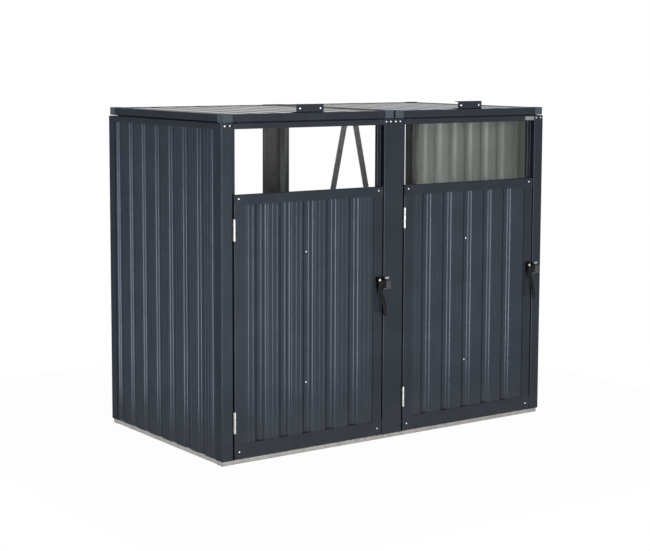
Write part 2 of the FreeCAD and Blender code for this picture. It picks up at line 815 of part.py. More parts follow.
def make_keeper(side, far, pivot_z):
    """A stepped plate on the post whose shelf and lip stand over the lever's horn."""
    wall = S.keeper_wall
    face = FRONT - wall
    shoulder = pivot_z - S.nose_drop / 4
    lip_low = pivot_z + S.horn_rise + S.horn_gap
    top = lip_low + S.keeper_lip
    near = far + S.keeper_overhang
    shelf = far - S.keeper_overhang
    pieces = [
        box(f"KeeperPlate{side}", near, face, shoulder - S.keeper_height,
            S.keeper_width, wall, S.keeper_height),
        box(f"KeeperArm{side}", near, face, shoulder, S.keeper_arm, wall, top - shoulder),
        box(f"KeeperShelf{side}", shelf, FRONT - S.keeper_shelf, top - wall,
            S.keeper_arm + 2 * S.keeper_overhang, S.keeper_shelf, wall),
        box(f"KeeperLip{side}", shelf, FRONT - S.keeper_shelf, lip_low,
            S.keeper_arm + 2 * S.keeper_overhang, wall, S.keeper_lip),
    ]
    return fuse(f"Keeper{side}", pieces)


# Lids: a folded frame with corner caps round a ribbed sheet, and a folded lift handle
def lid_line(face, inward):
    """Section of a lid rail from its top flange to its bottom return."""
    line = [(face + inward * S.lid_flange, LID_RAIL_TOP), (face, LID_RAIL_TOP),
            (face, LID_BOTTOM), (face + inward * S.lid_return, LID_BOTTOM)]
    return line if inward > 0 else line[::-1]


def make_lid(side, near, far):
    wall = S.cap_wall
    left = near + wall
    right = far - wall
    front = FRONT
    back = REAR
    flange = S.lid_flange

    for row, face, inward in (("front", front, 1), ("rear", back, -1)):
        rail = folded_bar(f"LidRail{row}{side}", "YZ_Plane", lid_line(face, inward),
                          S.lid_wall, left, right - left)
        keep(f"lid_rail_{row}_{side}", rail)
    sides = []
    for place, face, inward in (("Left", left, 1), ("Right", right, -1)):
        sides.append(folded_bar(f"LidSide{place}{side}", "XZ_Plane", lid_line(face, inward),
                                S.lid_wall, front + flange, back - front - 2 * flange))
    keep(f"lid_side_rails_{side}", group(f"LidSides{side}", sides))

    hem = S.lid_wall + S.fit_gap
    crest = LID_RAIL_TOP - S.lid_wall - S.fit_gap
    ribs = (left + hem, right - hem, (left + right) / 2, S.rib_pitch)
    panel = ribbed_sheet(f"LidSheet{side}", ribs, back - front - 2 * hem, 1,
                         (0.0, front + hem, crest), TOWARDS_REAR)
    keep(f"lid_sheet_{side}", panel)

    caps = []
    inside = S.cap_length
    for x, x_step in ((near, 0), (far, -1)):
        for y, y_step in ((front - wall, 0), (back + wall, -1)):
            name = f"Cap{side}{len(caps)}"
            x_low = x + x_step * S.cap_length
            y_low = y + y_step * S.cap_length
            shell = box(f"{name}Shell", x_low, y_low, LID_BOTTOM,
                        S.cap_length, S.cap_length, S.lid_height)
            hollow = box(f"{name}Hollow", x_low + wall * (1 + 2 * x_step),
                         y_low + wall * (1 + 2 * y_step), LID_BOTTOM,
                         inside, inside, S.lid_height - wall)
            caps.append(cut(name, shell, hollow))
    keep(f"lid_corner_caps_{side}", group(f"Caps{side}", caps))

    make_handle(side, (near + far) / 2)

    pads = []
    for x in (left + S.buffer_inset, right - S.buffer_inset - S.buffer_width):
        pads.append(box(f"Buffer{side}{len(pads)}", x, front + S.lid_wall,
                        S.body_top + S.moving_gap, S.buffer_width, S.buffer_width,
                        S.lid_gap - S.moving_gap))
    keep(f"lid_buffers_{side}", group(f"Buffers{side}", pads))


def make_handle(side, centre):
    foot = LID_RAIL_TOP
    top = foot + S.handle_rise
    face = FRONT + S.handle_setback
    line = [(face + S.handle_lip, top), (face, top), (face, foot), (face + S.handle_foot, foot)]
    start = centre - S.handle_width / 2
    handle = folded_bar(f"LidHandle{side}", "YZ_Plane", line, S.handle_wall, start,
                        S.handle_width)
    keep(f"lid_handle_{side}", handle)


def make_blank_plate():
    x = BAYS["right"][1] - S.plate_gap - S.plate_width
    z = S.body_top - (S.top_rail_height + S.plate_height) / 2
    plate = box("BlankPlate", x, FRONT - S.plate_wall, z,
                S.plate_width, S.plate_wall, S.plate_height)
    keep("blank_plate", plate)


def check_document():
    for thing in doc.Objects:
        if "Invalid" in thing.State or "Error" in thing.State:
            raise RuntimeError(f"{thing.Label} failed: {thing.State}")
    for node in nodes:
        if node.Shape.isNull() or not node.Shape.isValid() or not node.Shape.Solids:
            raise RuntimeError(f"{node.Label} has no valid solid")


make_base()
make_posts()
make_top_rails()
make_walls()
make_braces()
make_hinges()
keepers = []
for bay, (bay_left, bay_right) in BAYS.items():
    make_door(bay, bay_left, bay_right)
    keepers.append(make_latch(bay, bay_right))
keep("latch_keepers", group("Keepers", keepers))
for bay, (lid_left, lid_right) in LIDS.items():
    make_lid(bay, lid_left, lid_right)
make_blank_plate()

doc.recompute()
check_document()
os.makedirs("parts", exist_ok=True)
whole_box = FreeCAD.BoundBox()
for node in nodes:
    node.Shape.exportStep(f"parts/{node.Label}.step")
    whole_box.add(node.Shape.BoundBox)
print(f"{len(nodes)} sub-parts, box {whole_box}")
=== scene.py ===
import math

import bmesh
import bpy
from mathutils import Matrix, Vector


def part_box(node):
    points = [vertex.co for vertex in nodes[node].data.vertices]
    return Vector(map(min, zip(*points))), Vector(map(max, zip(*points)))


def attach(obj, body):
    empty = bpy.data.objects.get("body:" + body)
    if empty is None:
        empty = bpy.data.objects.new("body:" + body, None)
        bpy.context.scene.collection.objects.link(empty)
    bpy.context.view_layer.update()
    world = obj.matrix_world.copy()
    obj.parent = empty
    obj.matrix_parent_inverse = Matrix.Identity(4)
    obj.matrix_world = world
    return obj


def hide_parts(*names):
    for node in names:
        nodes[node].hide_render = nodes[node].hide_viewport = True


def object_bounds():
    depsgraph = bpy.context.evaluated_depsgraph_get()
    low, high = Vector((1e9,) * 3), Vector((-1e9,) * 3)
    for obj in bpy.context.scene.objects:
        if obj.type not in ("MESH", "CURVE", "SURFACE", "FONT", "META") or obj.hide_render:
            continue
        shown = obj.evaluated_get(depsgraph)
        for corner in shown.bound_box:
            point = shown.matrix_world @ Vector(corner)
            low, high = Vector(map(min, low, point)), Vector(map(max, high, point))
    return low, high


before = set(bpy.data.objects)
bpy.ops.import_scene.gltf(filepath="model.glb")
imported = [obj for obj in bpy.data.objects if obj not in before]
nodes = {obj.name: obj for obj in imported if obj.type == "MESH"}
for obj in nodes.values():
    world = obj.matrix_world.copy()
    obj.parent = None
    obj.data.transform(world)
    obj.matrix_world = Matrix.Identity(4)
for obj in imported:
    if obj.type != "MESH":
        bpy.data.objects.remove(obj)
cad_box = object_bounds()
MM = 0.001

# Sizes that the CAD part has, in metres
WALL = 1.5 * MM
SHEET_WALL = 1.0 * MM
HANDLE_WALL = 3.0 * MM
BASE_WALL = 2.0 * MM
CORNER_POST = 48 * MM
HALF_MIDDLE_POST = 48 * MM
POST_SIDE = 48 * MM
REBATE = 24 * MM
STOP_LIP = 12 * MM
HINGE_STOP = 26 * MM
LATCH_STOP = 18 * MM
REAR_DEPTH = 36 * MM
REAR_FLANGE = 19 * MM
FIT_GAP = 0.5 * MM
RAIL_LIP_DROP = 20 * MM
FRONT_RAIL = 22 * MM
REAR_RAIL = 46 * MM
BASE_FLANGE = 40 * MM
RIB_PITCH = 105 * MM
DOOR_RIB_PITCH = 107 * MM
DOOR_RIB_SHIFT = -13.5 * MM
DOOR_RIBS_BESIDE_MIDDLE = 2
RIB_DEPTH = 9 * MM
WALL_FIRST_RIB = 46 * MM
DOOR_FLANGE = 20 * MM
STILE = 45 * MM
INNER_RAIL = 30 * MM
LID_INSET = 8 * MM
HALF_LID_GAP = 5 * MM
LID_FLANGE = 18 * MM
LID_RETURN = 12 * MM
HANDLE_LIP = 20 * MM
HINGE_LENGTH = 80 * MM
KNUCKLE = 5.5 * MM
KNUCKLE_GAP = 0.5 * MM
LEAF_WALL = 2 * MM
PIVOT_HEIGHT = 639 * MM
PIVOT_INSET = 27 * MM
LEVER_LENGTH = 139 * MM
LEVER_LEAN = 15 * MM
LATCH_REACH = 32 * MM

# Finer sizes, fitted to the photo: the CAD part draws these bends, ribs and grooves plainer
BEND = 3.5 * MM
HANDLE_BEND = 4 * MM
RIB_FLOOR = 20 * MM
RIB_FLANK = 12 * MM
GROOVE_WIDTH = 6 * MM
GROOVE_PITCH = 20.5 * MM
GROOVE_DEPTH = 0.5 * MM
WALL_GROOVE_DEPTH = 1.0 * MM
CREST_ROUND = 16.0 * MM
FLOOR_ROUND = 12.0 * MM
GROOVE_EDGE = 8.0 * MM
GROOVE_ROOT = 4.0 * MM

# Places read from the CAD part
LOW, HIGH = cad_box
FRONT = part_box("post_front_middle")[0].y
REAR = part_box("post_rear_middle")[1].y
BODY_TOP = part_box("post_front_middle")[1].z
LID_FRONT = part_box("lid_rail_front_left")[0].y
LID_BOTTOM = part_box("lid_rail_front_left")[0].z
LID_RAIL_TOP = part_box("lid_rail_front_left")[1].z
BAYS = {"left": (LOW.x + CORNER_POST, -HALF_MIDDLE_POST),
        "right": (HALF_MIDDLE_POST, HIGH.x - CORNER_POST)}
LIDS = {"left": (LOW.x + LID_INSET, -HALF_LID_GAP),
        "right": (HALF_LID_GAP, HIGH.x - LID_INSET)}

FORWARD = (0, -1, 0)
BACKWARD = (0, 1, 0)
RIGHTWARD = (1, 0, 0)
UPWARD = (0, 0, 1)


# Material helpers
NOISE = "ShaderNodeTexNoise"
CELLS = "ShaderNodeTexVoronoi"
EVEN = (1.0, 1.0, 1.0)


def new_material(name):
    material = bpy.data.materials.new(name)
    material.use_nodes = True
    tree = material.node_tree
    return material, tree, tree.nodes["Principled BSDF"]


def link(tree, source, output, target, socket):
    tree.links.new(source.outputs[output], target.inputs[socket])


def texture(tree, kind, scale, detail=3.0, stretch=EVEN):
    """A procedural texture in the piece's own coordinates, so that it moves with the piece."""
    place = tree.nodes.new("ShaderNodeTexCoord")
    mapping = tree.nodes.new("ShaderNodeMapping")
    mapping.inputs["Scale"].default_value = stretch
    link(tree, place, "Object", mapping, "Vector")
    node = tree.nodes.new(kind)
    node.inputs["Scale"].default_value = scale
    if kind == NOISE:
        node.inputs["Detail"].default_value = detail
    link(tree, mapping, "Vector", node, "Vector")
    return node


def ramp(tree, source, output, start, end):
    """Colours between two stops, each a (position, colour)."""
    node = tree.nodes.new("ShaderNodeValToRGB")
    for element, (position, colour) in zip(node.color_ramp.elements, (start, end)):
        element.position = position
        element.color = (*colour, 1.0)
    link(tree, source, output, node, "Fac")
    return node


def grey(value):
    return (value, value, value)


def tinted(colour, factor):
    return tuple(min(1.0, channel * factor) for channel in colour)


def mixed(tree, blend, factor, first, second):
    """Mix two colour outputs; the factor is a number or an output, the second may be a colour."""
    node = tree.nodes.new("ShaderNodeMix")
    node.data_type = "RGBA"
    node.blend_type = blend
    colour_sockets = [socket for socket in node.inputs if socket.type == "RGBA"]
    if isinstance(factor, float):
        node.inputs[0].default_value = factor
    else:
        tree.links.new(factor, node.inputs[0])
    tree.links.new(first, colour_sockets[0])
    if isinstance(second, tuple):
        colour_sockets[1].default_value = (*second, 1.0)
    else:
        tree.links.new(second, colour_sockets[1])
    return next(socket for socket in node.outputs if socket.type == "RGBA")


def bump_from(tree, shader, layers):
    """Chain bump nodes: each layer is (texture, strength, distance)."""
    last = None
    for source, strength, distance in layers:
        node = tree.nodes.new("ShaderNodeBump")
        node.inputs["Strength"].default_value = strength
        node.inputs["Distance"].default_value = distance
        link(tree, source, "Fac", node, "Height")
        if last is not None:
            link(tree, last, "Normal", node, "Normal")
        last = node
    link(tree, last, "Normal", shader, "Normal")


def low_share(tree, reach, most):
    """A patchy value that fades from most at the ground to nothing at the given height."""
    place = tree.nodes.new("ShaderNodeTexCoord")
    split = tree.nodes.new("ShaderNodeSeparateXYZ")
    link(tree, place, "Object", split, "Vector")
    fade = tree.nodes.new("ShaderNodeMapRange")
    fade.inputs["From Max"].default_value = reach
    fade.inputs["To Min"].default_value = most
    fade.inputs["To Max"].default_value = 0.0
    link(tree, split, "Z", fade, "Value")
    specks = texture(tree, NOISE, scale=38.0, detail=6.0, stretch=(1.0, 1.0, 0.5))
    patchy = tree.nodes.new("ShaderNodeMath")
    patchy.operation = "MULTIPLY"
    link(tree, fade, "Result", patchy, 0)
    link(tree, specks, "Fac", patchy, 1)
    return patchy.outputs["Value"]


# Materials: rough holds the least and the greatest roughness
COAT_DUST = (0.30, 0.29, 0.27)
COAT_DUST_HEIGHT = 0.2
BASE_DUST = (0.20, 0.19, 0.17)
BASE_DUST_HEIGHT = 0.06
UPRIGHT = (1.0, 1.0, 0.1)
ACROSS_ROOF = (1.0, 0.2, 1.0)


def painted(name, colour, rough, spread=0.08, peel=0.1, specular=0.25, dust=0.0, wave=0.07,
            stretch=UPRIGHT, tint=EVEN, metal=0.0):
    """Powder or coil coat: faint mottle, orange peel, uneven gloss and a little settled dust."""
    material, tree, shader = new_material(name)
    shader.inputs["Specular IOR Level"].default_value = specular
    shader.inputs["Specular Tint"].default_value = (*tint, 1.0)
    shader.inputs["Metallic"].default_value = metal
    mottle = texture(tree, NOISE, scale=9.0, detail=4.0)
    base = ramp(tree, mottle, "Fac", (0.3, tinted(colour, 1 - spread)),
                (0.7, tinted(colour, 1 + spread))).outputs["Color"]
    if dust > 0:
        base = mixed(tree, "MIX", low_share(tree, COAT_DUST_HEIGHT, dust), base, COAT_DUST)
    tree.links.new(base, shader.inputs["Base Color"])
    sheen = texture(tree, NOISE, scale=14.0, detail=1.0, stretch=stretch)
    gloss = ramp(tree, sheen, "Fac", (0.3, grey(rough[0])), (0.7, grey(rough[1])))
    link(tree, gloss, "Color", shader, "Roughness")
    fine = texture(tree, NOISE, scale=900.0, detail=2.0)
    waves = texture(tree, NOISE, scale=6.0, detail=1.0, stretch=stretch)
    bump_from(tree, shader, [(waves, wave, 18 * MM), (fine, peel, 0.04 * MM)])
    return material


def galvanised(name, colour, rough, metal, dust=0.0):
    """Hot-dip zinc: angular spangles of slightly different tone, dull and patchy."""
    material, tree, shader = new_material(name)
    shader.inputs["Metallic"].default_value = metal
    spangles = texture(tree, CELLS, scale=70.0)
    tone = ramp(tree, spangles, "Color", (0.1, tinted(colour, 0.86)), (0.9, tinted(colour, 1.1)))
    stain = texture(tree, NOISE, scale=11.0, detail=5.0)
    shade = ramp(tree, stain, "Fac", (0.35, grey(0.86)), (0.7, grey(1.0)))
    base = mixed(tree, "MULTIPLY", 1.0, tone.outputs["Color"], shade.outputs["Color"])
    if dust > 0:
        base = mixed(tree, "MIX", low_share(tree, BASE_DUST_HEIGHT, dust), base, BASE_DUST)
    tree.links.new(base, shader.inputs["Base Color"])
    gloss = ramp(tree, spangles, "Color", (0.0, grey(rough[0])), (1.0, grey(rough[1])))
    link(tree, gloss, "Color", shader, "Roughness")
    fine = texture(tree, NOISE, scale=320.0, detail=3.0)
    bump_from(tree, shader, [(fine, 0.15, 0.1 * MM)])
    return material


def plated(name, colour, rough):
    """Zinc plate on small hardware: drawn streaks and fine scratches."""
    material, tree, shader = new_material(name)
    shader.inputs["Metallic"].default_value = 1.0
    cloud = texture(tree, NOISE, scale=60.0, detail=3.0)
    tone = ramp(tree, cloud, "Fac", (0.3, tinted(colour, 0.88)), (0.7, tinted(colour, 1.05)))
    link(tree, tone, "Color", shader, "Base Color")
    streaks = texture(tree, NOISE, scale=220.0, detail=4.0, stretch=(1.0, 1.0, 8.0))
    gloss = ramp(tree, streaks, "Fac", (0.3, grey(rough[0])), (0.7, grey(rough[1])))
    link(tree, gloss, "Color", shader, "Roughness")
    bump_from(tree, shader, [(streaks, 0.12, 0.05 * MM)])
    return material


# The edge tint keeps what the coat mirrors dark at grazing angles
GRAZING_TINT = (0.2, 0.23, 0.28)
paint = painted("anthracite_coat", (0.034, 0.040, 0.0505), (0.28, 0.34), specular=0.05, dust=0.08,
                wave=0.1, tint=GRAZING_TINT, metal=0.5)
sheet_paint = painted("anthracite_sheet", (0.041, 0.049, 0.062), (0.26, 0.32), specular=0.05,
                      peel=0.0, dust=0.1, wave=0.12, tint=GRAZING_TINT, metal=0.5)
roof_paint = painted("anthracite_roof", (0.026, 0.030, 0.036), (0.17, 0.24), specular=0.45,
                     peel=0.0, wave=0.03, stretch=ACROSS_ROOF)
cap_paint = painted("blue_grey_cap", (0.074, 0.091, 0.112), (0.38, 0.5), specular=0.05, peel=0.2)
black = painted("black_coat", (0.007, 0.007, 0.008), (0.24, 0.32), spread=0.15, specular=0.1,
                peel=0.3)
back_coat = painted("backing_coat", (0.61, 0.64, 0.605), (0.45, 0.55), spread=0.06,
                    specular=0.05)
# Unpainted zinc in two copies of one metal: dark for inner faces, painted shade, and light for the
# posts' sideways inner faces, a painted highlight
dark_zinc_painted_shade = galvanised("zinc_inside_painted_shade", (0.145, 0.15, 0.145), (0.3, 0.4), metal=0.85)
light_zinc_painted_highlight = galvanised("zinc_flank_painted_highlight", (0.62, 0.66, 0.66), (0.5, 0.6), metal=0.3)
brace_zinc = galvanised("brace_zinc", (0.42, 0.425, 0.42), (0.3, 0.4), metal=0.8)
base_zinc = galvanised("base_zinc", (0.44, 0.43, 0.41), (0.42, 0.6), metal=0.7, dust=0.5)
zinc = plated("bright_zinc", (0.46, 0.45, 0.43), (0.3, 0.42))
screw_zinc = plated("screw_zinc", (0.56, 0.57, 0.58), (0.25, 0.38))
# The keeper's plate and lip are one plated zinc in a dark and a bright copy; the lip's brightness
# is a painted highlight
dark_keeper_zinc = plated("dark_keeper_zinc", (0.085, 0.084, 0.086), (0.34, 0.46))
keeper_lip_painted_highlight = plated("keeper_lip_painted_highlight", (0.36, 0.365, 0.37), (0.34, 0.46))
plate = plated("satin_plate", (0.26, 0.265, 0.27), (0.34, 0.46))
rubber = painted("black_rubber", (0.018, 0.018, 0.018), (0.6, 0.75), peel=0.5)


# Mesh helpers
def finish_mesh(name, mesh, materials, body, stands_for=(), angle=35.0):
    """Make a piece of a mesh; edges sharper than the angle in degrees stay sharp."""
    mesh.shade_smooth()
    mesh.set_sharp_from_angle(angle=math.radians(angle))
    piece = bpy.data.objects.new(name, mesh)
    bpy.context.scene.collection.objects.link(piece)
    for material in materials:
        mesh.materials.append(material)
    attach(piece, body)
    if stands_for:
        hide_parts(*stands_for)
    return piece


def to_mesh(name, bm):
    mesh = bpy.data.meshes.new(name)
    bm.to_mesh(mesh)
    bm.free()
    return mesh


def closed_mesh(name, bm):
    """A mesh whose faces all look outwards."""
    bmesh.ops.recalc_face_normals(bm, faces=bm.faces)
    return to_mesh(name, bm)


def joined(name, meshes):
    bm = bmesh.new()
    for mesh in meshes:
        bm.from_mesh(mesh)
        bpy.data.meshes.remove(mesh)
    return to_mesh(name, bm)


def in_metres(points):
    return [(u * MM, v * MM) for u, v in points]


def arc_at(here, back, ahead, turn, reach, step):
    """One rounding's points; back and ahead are the unit directions of the corner's two runs."""
    radius = reach / math.tan(turn / 2)
    centre = here + (back + ahead).normalized() * (radius / math.cos(turn / 2))
    start = here + back * reach - centre
    count = max(2, math.ceil(math.degrees(turn) / step))
    sign = 1.0 if back.x * ahead.y - back.y * ahead.x < 0 else -1.0
    arc = []
    for number in range(count + 1):
        angle = sign * turn * number / count
        cosine, sine = math.cos(angle), math.sin(angle)
        arc.append(centre + Vector((start.x * cosine - start.y * sine,
                                    start.x * sine + start.y * cosine)))
    return arc


USED_RUN = 0.9
LEAST_TURN = math.radians(2)


def rounded(points, radii, step=22.5, ease=0.4 * MM):
    """A line of points with each inner corner rounded; each arc has a short flat beside it.

    Where two roundings need more than the run between them, both get smaller."""
    points = [Vector(p) for p in points]
    last = len(points) - 1
    turns = [0.0] * len(points)
    reaches = [0.0] * len(points)
    for i in range(1, last):
        turns[i] = math.pi - (points[i - 1] - points[i]).angle(points[i + 1] - points[i])
        reaches[i] = radii[i] * math.tan(turns[i] / 2)
    for i in range(last):
        room = USED_RUN * (points[i + 1] - points[i]).length
        needed = reaches[i] + reaches[i + 1]
        if needed > room:
            reaches[i] *= room / needed
            reaches[i + 1] *= room / needed
    result = [points[0]]
    for i in range(1, last):
        here, turn, reach = points[i], turns[i], reaches[i]
        if turn < LEAST_TURN or reach <= 0:
            result.append(here)
            continue
        before = points[i - 1] - here
        after = points[i + 1] - here
        back, ahead = before.normalized(), after.normalized()
        if before.length - reach - reaches[i - 1] > 2.5 * ease:
            result.append(here + back * (reach + ease))
        result += arc_at(here, back, ahead, turn, reach, step)
        if after.length - reach - reaches[i + 1] > 2.5 * ease:
            result.append(here + ahead * (reach + ease))
    result.append(points[-1])
    return result


def bent(line, wall, radius=BEND):
    """Round the folds of a line whose wall lies on its left, tighter where it is the inside."""
    points = [Vector(p) for p in line]
    radii = [0.0]
    for i in range(1, len(points) - 1):
        before = points[i] - points[i - 1]
        after = points[i + 1] - points[i]
        left = before.x * after.y - before.y * after.x > 0
        radii.append(radius if left else radius - wall)
    return rounded(points, radii + [0.0])


def offset_line(line, wall):
    """The same line moved to its left by the wall, mitred at every point."""
    result = []
    for i, here in enumerate(line):
        sides = []
        for j in (i - 1, i):
            if 0 <= j < len(line) - 1:
                run = (line[j + 1] - line[j]).normalized()
                sides.append(Vector((-run.y, run.x)))
        if len(sides) == 1:
            result.append(here + sides[0] * wall)
        else:
            middle = (sides[0] + sides[1]).normalized()
            result.append(here + middle * (wall / max(0.3, middle.dot(sides[0]))))
    return result


def strip_mesh(name, line, wall, put, start, end):
    """A bent sheet: the line is its right-hand skin, the wall lies on the line's left.

    put(u, v, w) gives a point in the row frame; w runs from start to end. The inner skin has
    the second material, and all else the first."""
    inner = offset_line(line, wall)
    bm = bmesh.new()
    rings = []
    for w in (start, end):
        rings.append(([bm.verts.new(put(p.x, p.y, w)) for p in line],
                      [bm.verts.new(put(p.x, p.y, w)) for p in inner]))
    (outer_a, inner_a), (outer_b, inner_b) = rings
    last = len(line) - 1
    for i in range(last):
        faces = [(outer_a[i], outer_a[i + 1], outer_b[i + 1], outer_b[i], 0),
                 (inner_a[i + 1], inner_a[i], inner_b[i], inner_b[i + 1], 1),
                 (outer_a[i + 1], outer_a[i], inner_a[i], inner_a[i + 1], 0),
                 (outer_b[i], outer_b[i + 1], inner_b[i + 1], inner_b[i], 0)]
        for *corners, index in faces:
            bm.faces.new(corners).material_index = index
    for i in (0, last):
        bm.faces.new((outer_a[i], outer_b[i], inner_b[i], inner_a[i]))
    return closed_mesh(name, bm)


def along_z(u, v, w):
    return (u, v, w)


def along_x(u, v, w):
    return (w, u, v)


def along_y(u, v, w):
    return (u, w, v)


def eased(bm, width):
    """Bevel every sharp edge of a small solid and keep its size."""
    sharp = [edge for edge in bm.edges if edge.calc_face_angle(0.0) > math.radians(20)]
    bmesh.ops.bevel(bm, geom=sharp, offset=width, segments=2, profile=0.5,
                    affect="EDGES", clamp_overlap=True)


SLAB_EASE = 0.3 * MM


def slab(name, low, high):
    """A flat bar or plate between two corners, its edges eased."""
    bm = bmesh.new()
    bmesh.ops.create_cube(bm, size=1.0)
    low, high = Vector(low), Vector(high)
    middle = (low + high) / 2
    size = high - low
    for vert in bm.verts:
        vert.co = Vector([middle[i] + vert.co[i] * size[i] for i in range(3)])
    eased(bm, SLAB_EASE)
    return closed_mesh(name, bm)


def cut_plate(name, outline, front, wall, ease):
    """A plate cut to an outline of (x, z) points; its wall goes back from the plane y = front."""
    bm = bmesh.new()
    near = [bm.verts.new((x, front, z)) for x, z in outline]
    far = [bm.verts.new((x, front + wall, z)) for x, z in outline]
    bm.faces.new(near)
    bm.faces.new(far[::-1])
    count = len(outline)
    for i in range(count):
        j = (i + 1) % count
        bm.faces.new((near[i], near[j], far[j], far[i]))
    bmesh.ops.recalc_face_normals(bm, faces=bm.faces)
    eased(bm, ease)
    return closed_mesh(name, bm)


NO_RADIUS = 1e-7


def turned(name, profile, foot, axis, sides=32):
    """A turned form: the profile holds (radius, height) along the axis from its foot."""
    axis = Vector(axis).normalized()
    across = axis.orthogonal().normalized()
    beside = axis.cross(across)
    foot = Vector(foot)
    bm = bmesh.new()
    rings = []
    for radius, height in profile:
        if radius < NO_RADIUS:
            rings.append([bm.verts.new(foot + axis * height)])
            continue
        ring = []
        for number in range(sides):
            angle = 2 * math.pi * number / sides
            out = across * math.cos(angle) + beside * math.sin(angle)
            ring.append(bm.verts.new(foot + axis * height + out * radius))
        rings.append(ring)
    for lower, upper in zip(rings, rings[1:]):
        for here in range(sides):
            following = (here + 1) % sides
            corners = []
            for vert in (lower[here % len(lower)], lower[following % len(lower)],
                         upper[following % len(upper)], upper[here % len(upper)]):
                if vert not in corners:
                    corners.append(vert)
            if len(corners) > 2:
                bm.faces.new(corners)
    for ring in (rings[0], rings[-1]):
        if len(ring) > 2:
            bm.faces.new(ring)
    return closed_mesh(name, bm)


def fold(node, line, wall, put, run, materials, body, radius=BEND):
    """One folded rail or post that stands for the node of its name."""
    mesh = strip_mesh(node, bent(line, wall, radius), wall, put, *run)
    return finish_mesh(f"{node}_folded", mesh, materials, body, [node])


def fold_pair(node, lines, put, runs, materials, body):
    """Two folded strips that stand for one node, joined to one piece."""
    meshes = [strip_mesh(node, bent(line, WALL), WALL, put, *run)
              for line, run in zip(lines, runs)]
    finish_mesh(f"{node}_folded", joined(node, meshes), materials, body,
                [node])


# Posts: painted outside, unpainted zinc inside, in two copies of one metal: a dark one that is
# painted shade, and a light one that is a painted highlight on the inner faces that look sideways
def front_line(place):
    side = FRONT + POST_SIDE
    stop = FRONT + REBATE
    lip = stop + STOP_LIP
    if place == "left":
        near, far = LOW.x, BAYS["left"][0]
        return [(near, side), (near, FRONT), (far, FRONT), (far, stop),
                (far + HINGE_STOP, stop), (far + HINGE_STOP, lip)]
    if place == "middle":
        near, far = BAYS["left"][1], BAYS["right"][0]
        return [(near - LATCH_STOP, lip), (near - LATCH_STOP, stop), (near, stop),
                (near, FRONT), (far, FRONT), (far, stop),
                (far + HINGE_STOP, stop), (far + HINGE_STOP, lip)]
    near, far = BAYS["right"][1], HIGH.x
    return [(near - LATCH_STOP, lip), (near - LATCH_STOP, stop), (near, stop),
            (near, FRONT), (far, FRONT), (far, side)]


def rear_line(place):
    flange = REAR - REAR_DEPTH
    side = REAR - POST_SIDE
    if place == "left":
        near = BAYS["left"][0]
        return [(near + REAR_FLANGE, flange), (near, flange), (near, REAR), (LOW.x, REAR),
                (LOW.x, side)]
    if place == "middle":
        near, far = BAYS["left"][1], BAYS["right"][0]
        return [(far + REAR_FLANGE, flange), (far, flange), (far, REAR), (near, REAR),
                (near, flange), (near - REAR_FLANGE, flange)]
    far = BAYS["right"][1]
    return [(HIGH.x, side), (HIGH.x, REAR), (far, REAR), (far, flange),
            (far - REAR_FLANGE, flange)]


def make_posts():
    for place in ("left", "middle", "right"):
        for row, line in (("front", front_line(place)), ("rear", rear_line(place))):
            node = f"post_{row}_{place}"
            low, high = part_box(node)
            post = fold(node, line, WALL, along_z, (low.z, high.z), [paint, dark_zinc_painted_shade, light_zinc_painted_highlight],
                        "frame")
            # Inner faces that look sideways take the light zinc, a painted highlight; the others
            # keep the dark zinc, painted shade
            for face in post.data.polygons:
                if face.material_index == 1 and abs(face.normal.x) > 0.9:
                    face.material_index = 2


# Top rails and base frame
END_GAP = 0.15 * MM


def rail_line(face, inward, height, depth=REBATE):
    """A top rail's section; inward is 1 where the store lies on the face's far side, else -1."""
    lip = face + inward * (depth - FIT_GAP)
    line = [(lip, BODY_TOP - RAIL_LIP_DROP), (lip, BODY_TOP), (face, BODY_TOP),
            (face, BODY_TOP - height)]
    return line if inward > 0 else line[::-1]


def make_top_rails():
    bay_runs = [(near + END_GAP, far - END_GAP) for near, far in BAYS.values()]
    for row, line in (("front", rail_line(FRONT, 1, FRONT_RAIL)),
                      ("rear", rail_line(REAR, -1, REAR_RAIL, REAR_DEPTH))):
        fold_pair(f"top_rails_{row}", [line] * 2, along_x, bay_runs, [paint, dark_zinc_painted_shade], "frame")
    for side, face, inward in (("left", LOW.x, 1), ("right", HIGH.x, -1)):
        node = f"top_rail_{side}"
        low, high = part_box(node)
        fold(node, rail_line(face, inward, FRONT_RAIL), WALL, along_y,
             (low.y + END_GAP, high.y - END_GAP), [paint, dark_zinc_painted_shade], "frame")


def base_line(web, inward, top):
    edge = web + inward * BASE_FLANGE
    line = [(edge, top), (web, top), (web, 0.0), (edge, 0.0)]
    return line if inward > 0 else line[::-1]


BASE_END_SET = 0.3 * MM


def make_base_rails():
    """Front and rear base rails: channels open inwards, each end closed by a plate."""
    for row, inward in (("front", 1), ("rear", -1)):
        node = f"base_rail_{row}"
        low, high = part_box(node)
        web = low.y if inward > 0 else high.y
        line = bent(base_line(web, inward, high.z), BASE_WALL)
        meshes = [strip_mesh(node, line, BASE_WALL, along_x, low.x, high.x)]
        for x in (low.x, high.x - BASE_WALL):
            meshes.append(slab(node, (x, low.y + BASE_END_SET, low.z + BASE_END_SET),
                               (x + BASE_WALL, high.y - BASE_END_SET, high.z - BASE_END_SET)))
        finish_mesh(f"{node}_folded", joined(node, meshes), [base_zinc, base_zinc], "frame",
                    [node])


# Ribbed sheets; the many ribs to each side are more than any sheet holds
MANY_RIBS = 12
SHEET_STEP = 9.0
SHEET_EASE = 0.3 * MM
SHEET_SHARP = 60
ROOF_SOFTNESS = 0.2


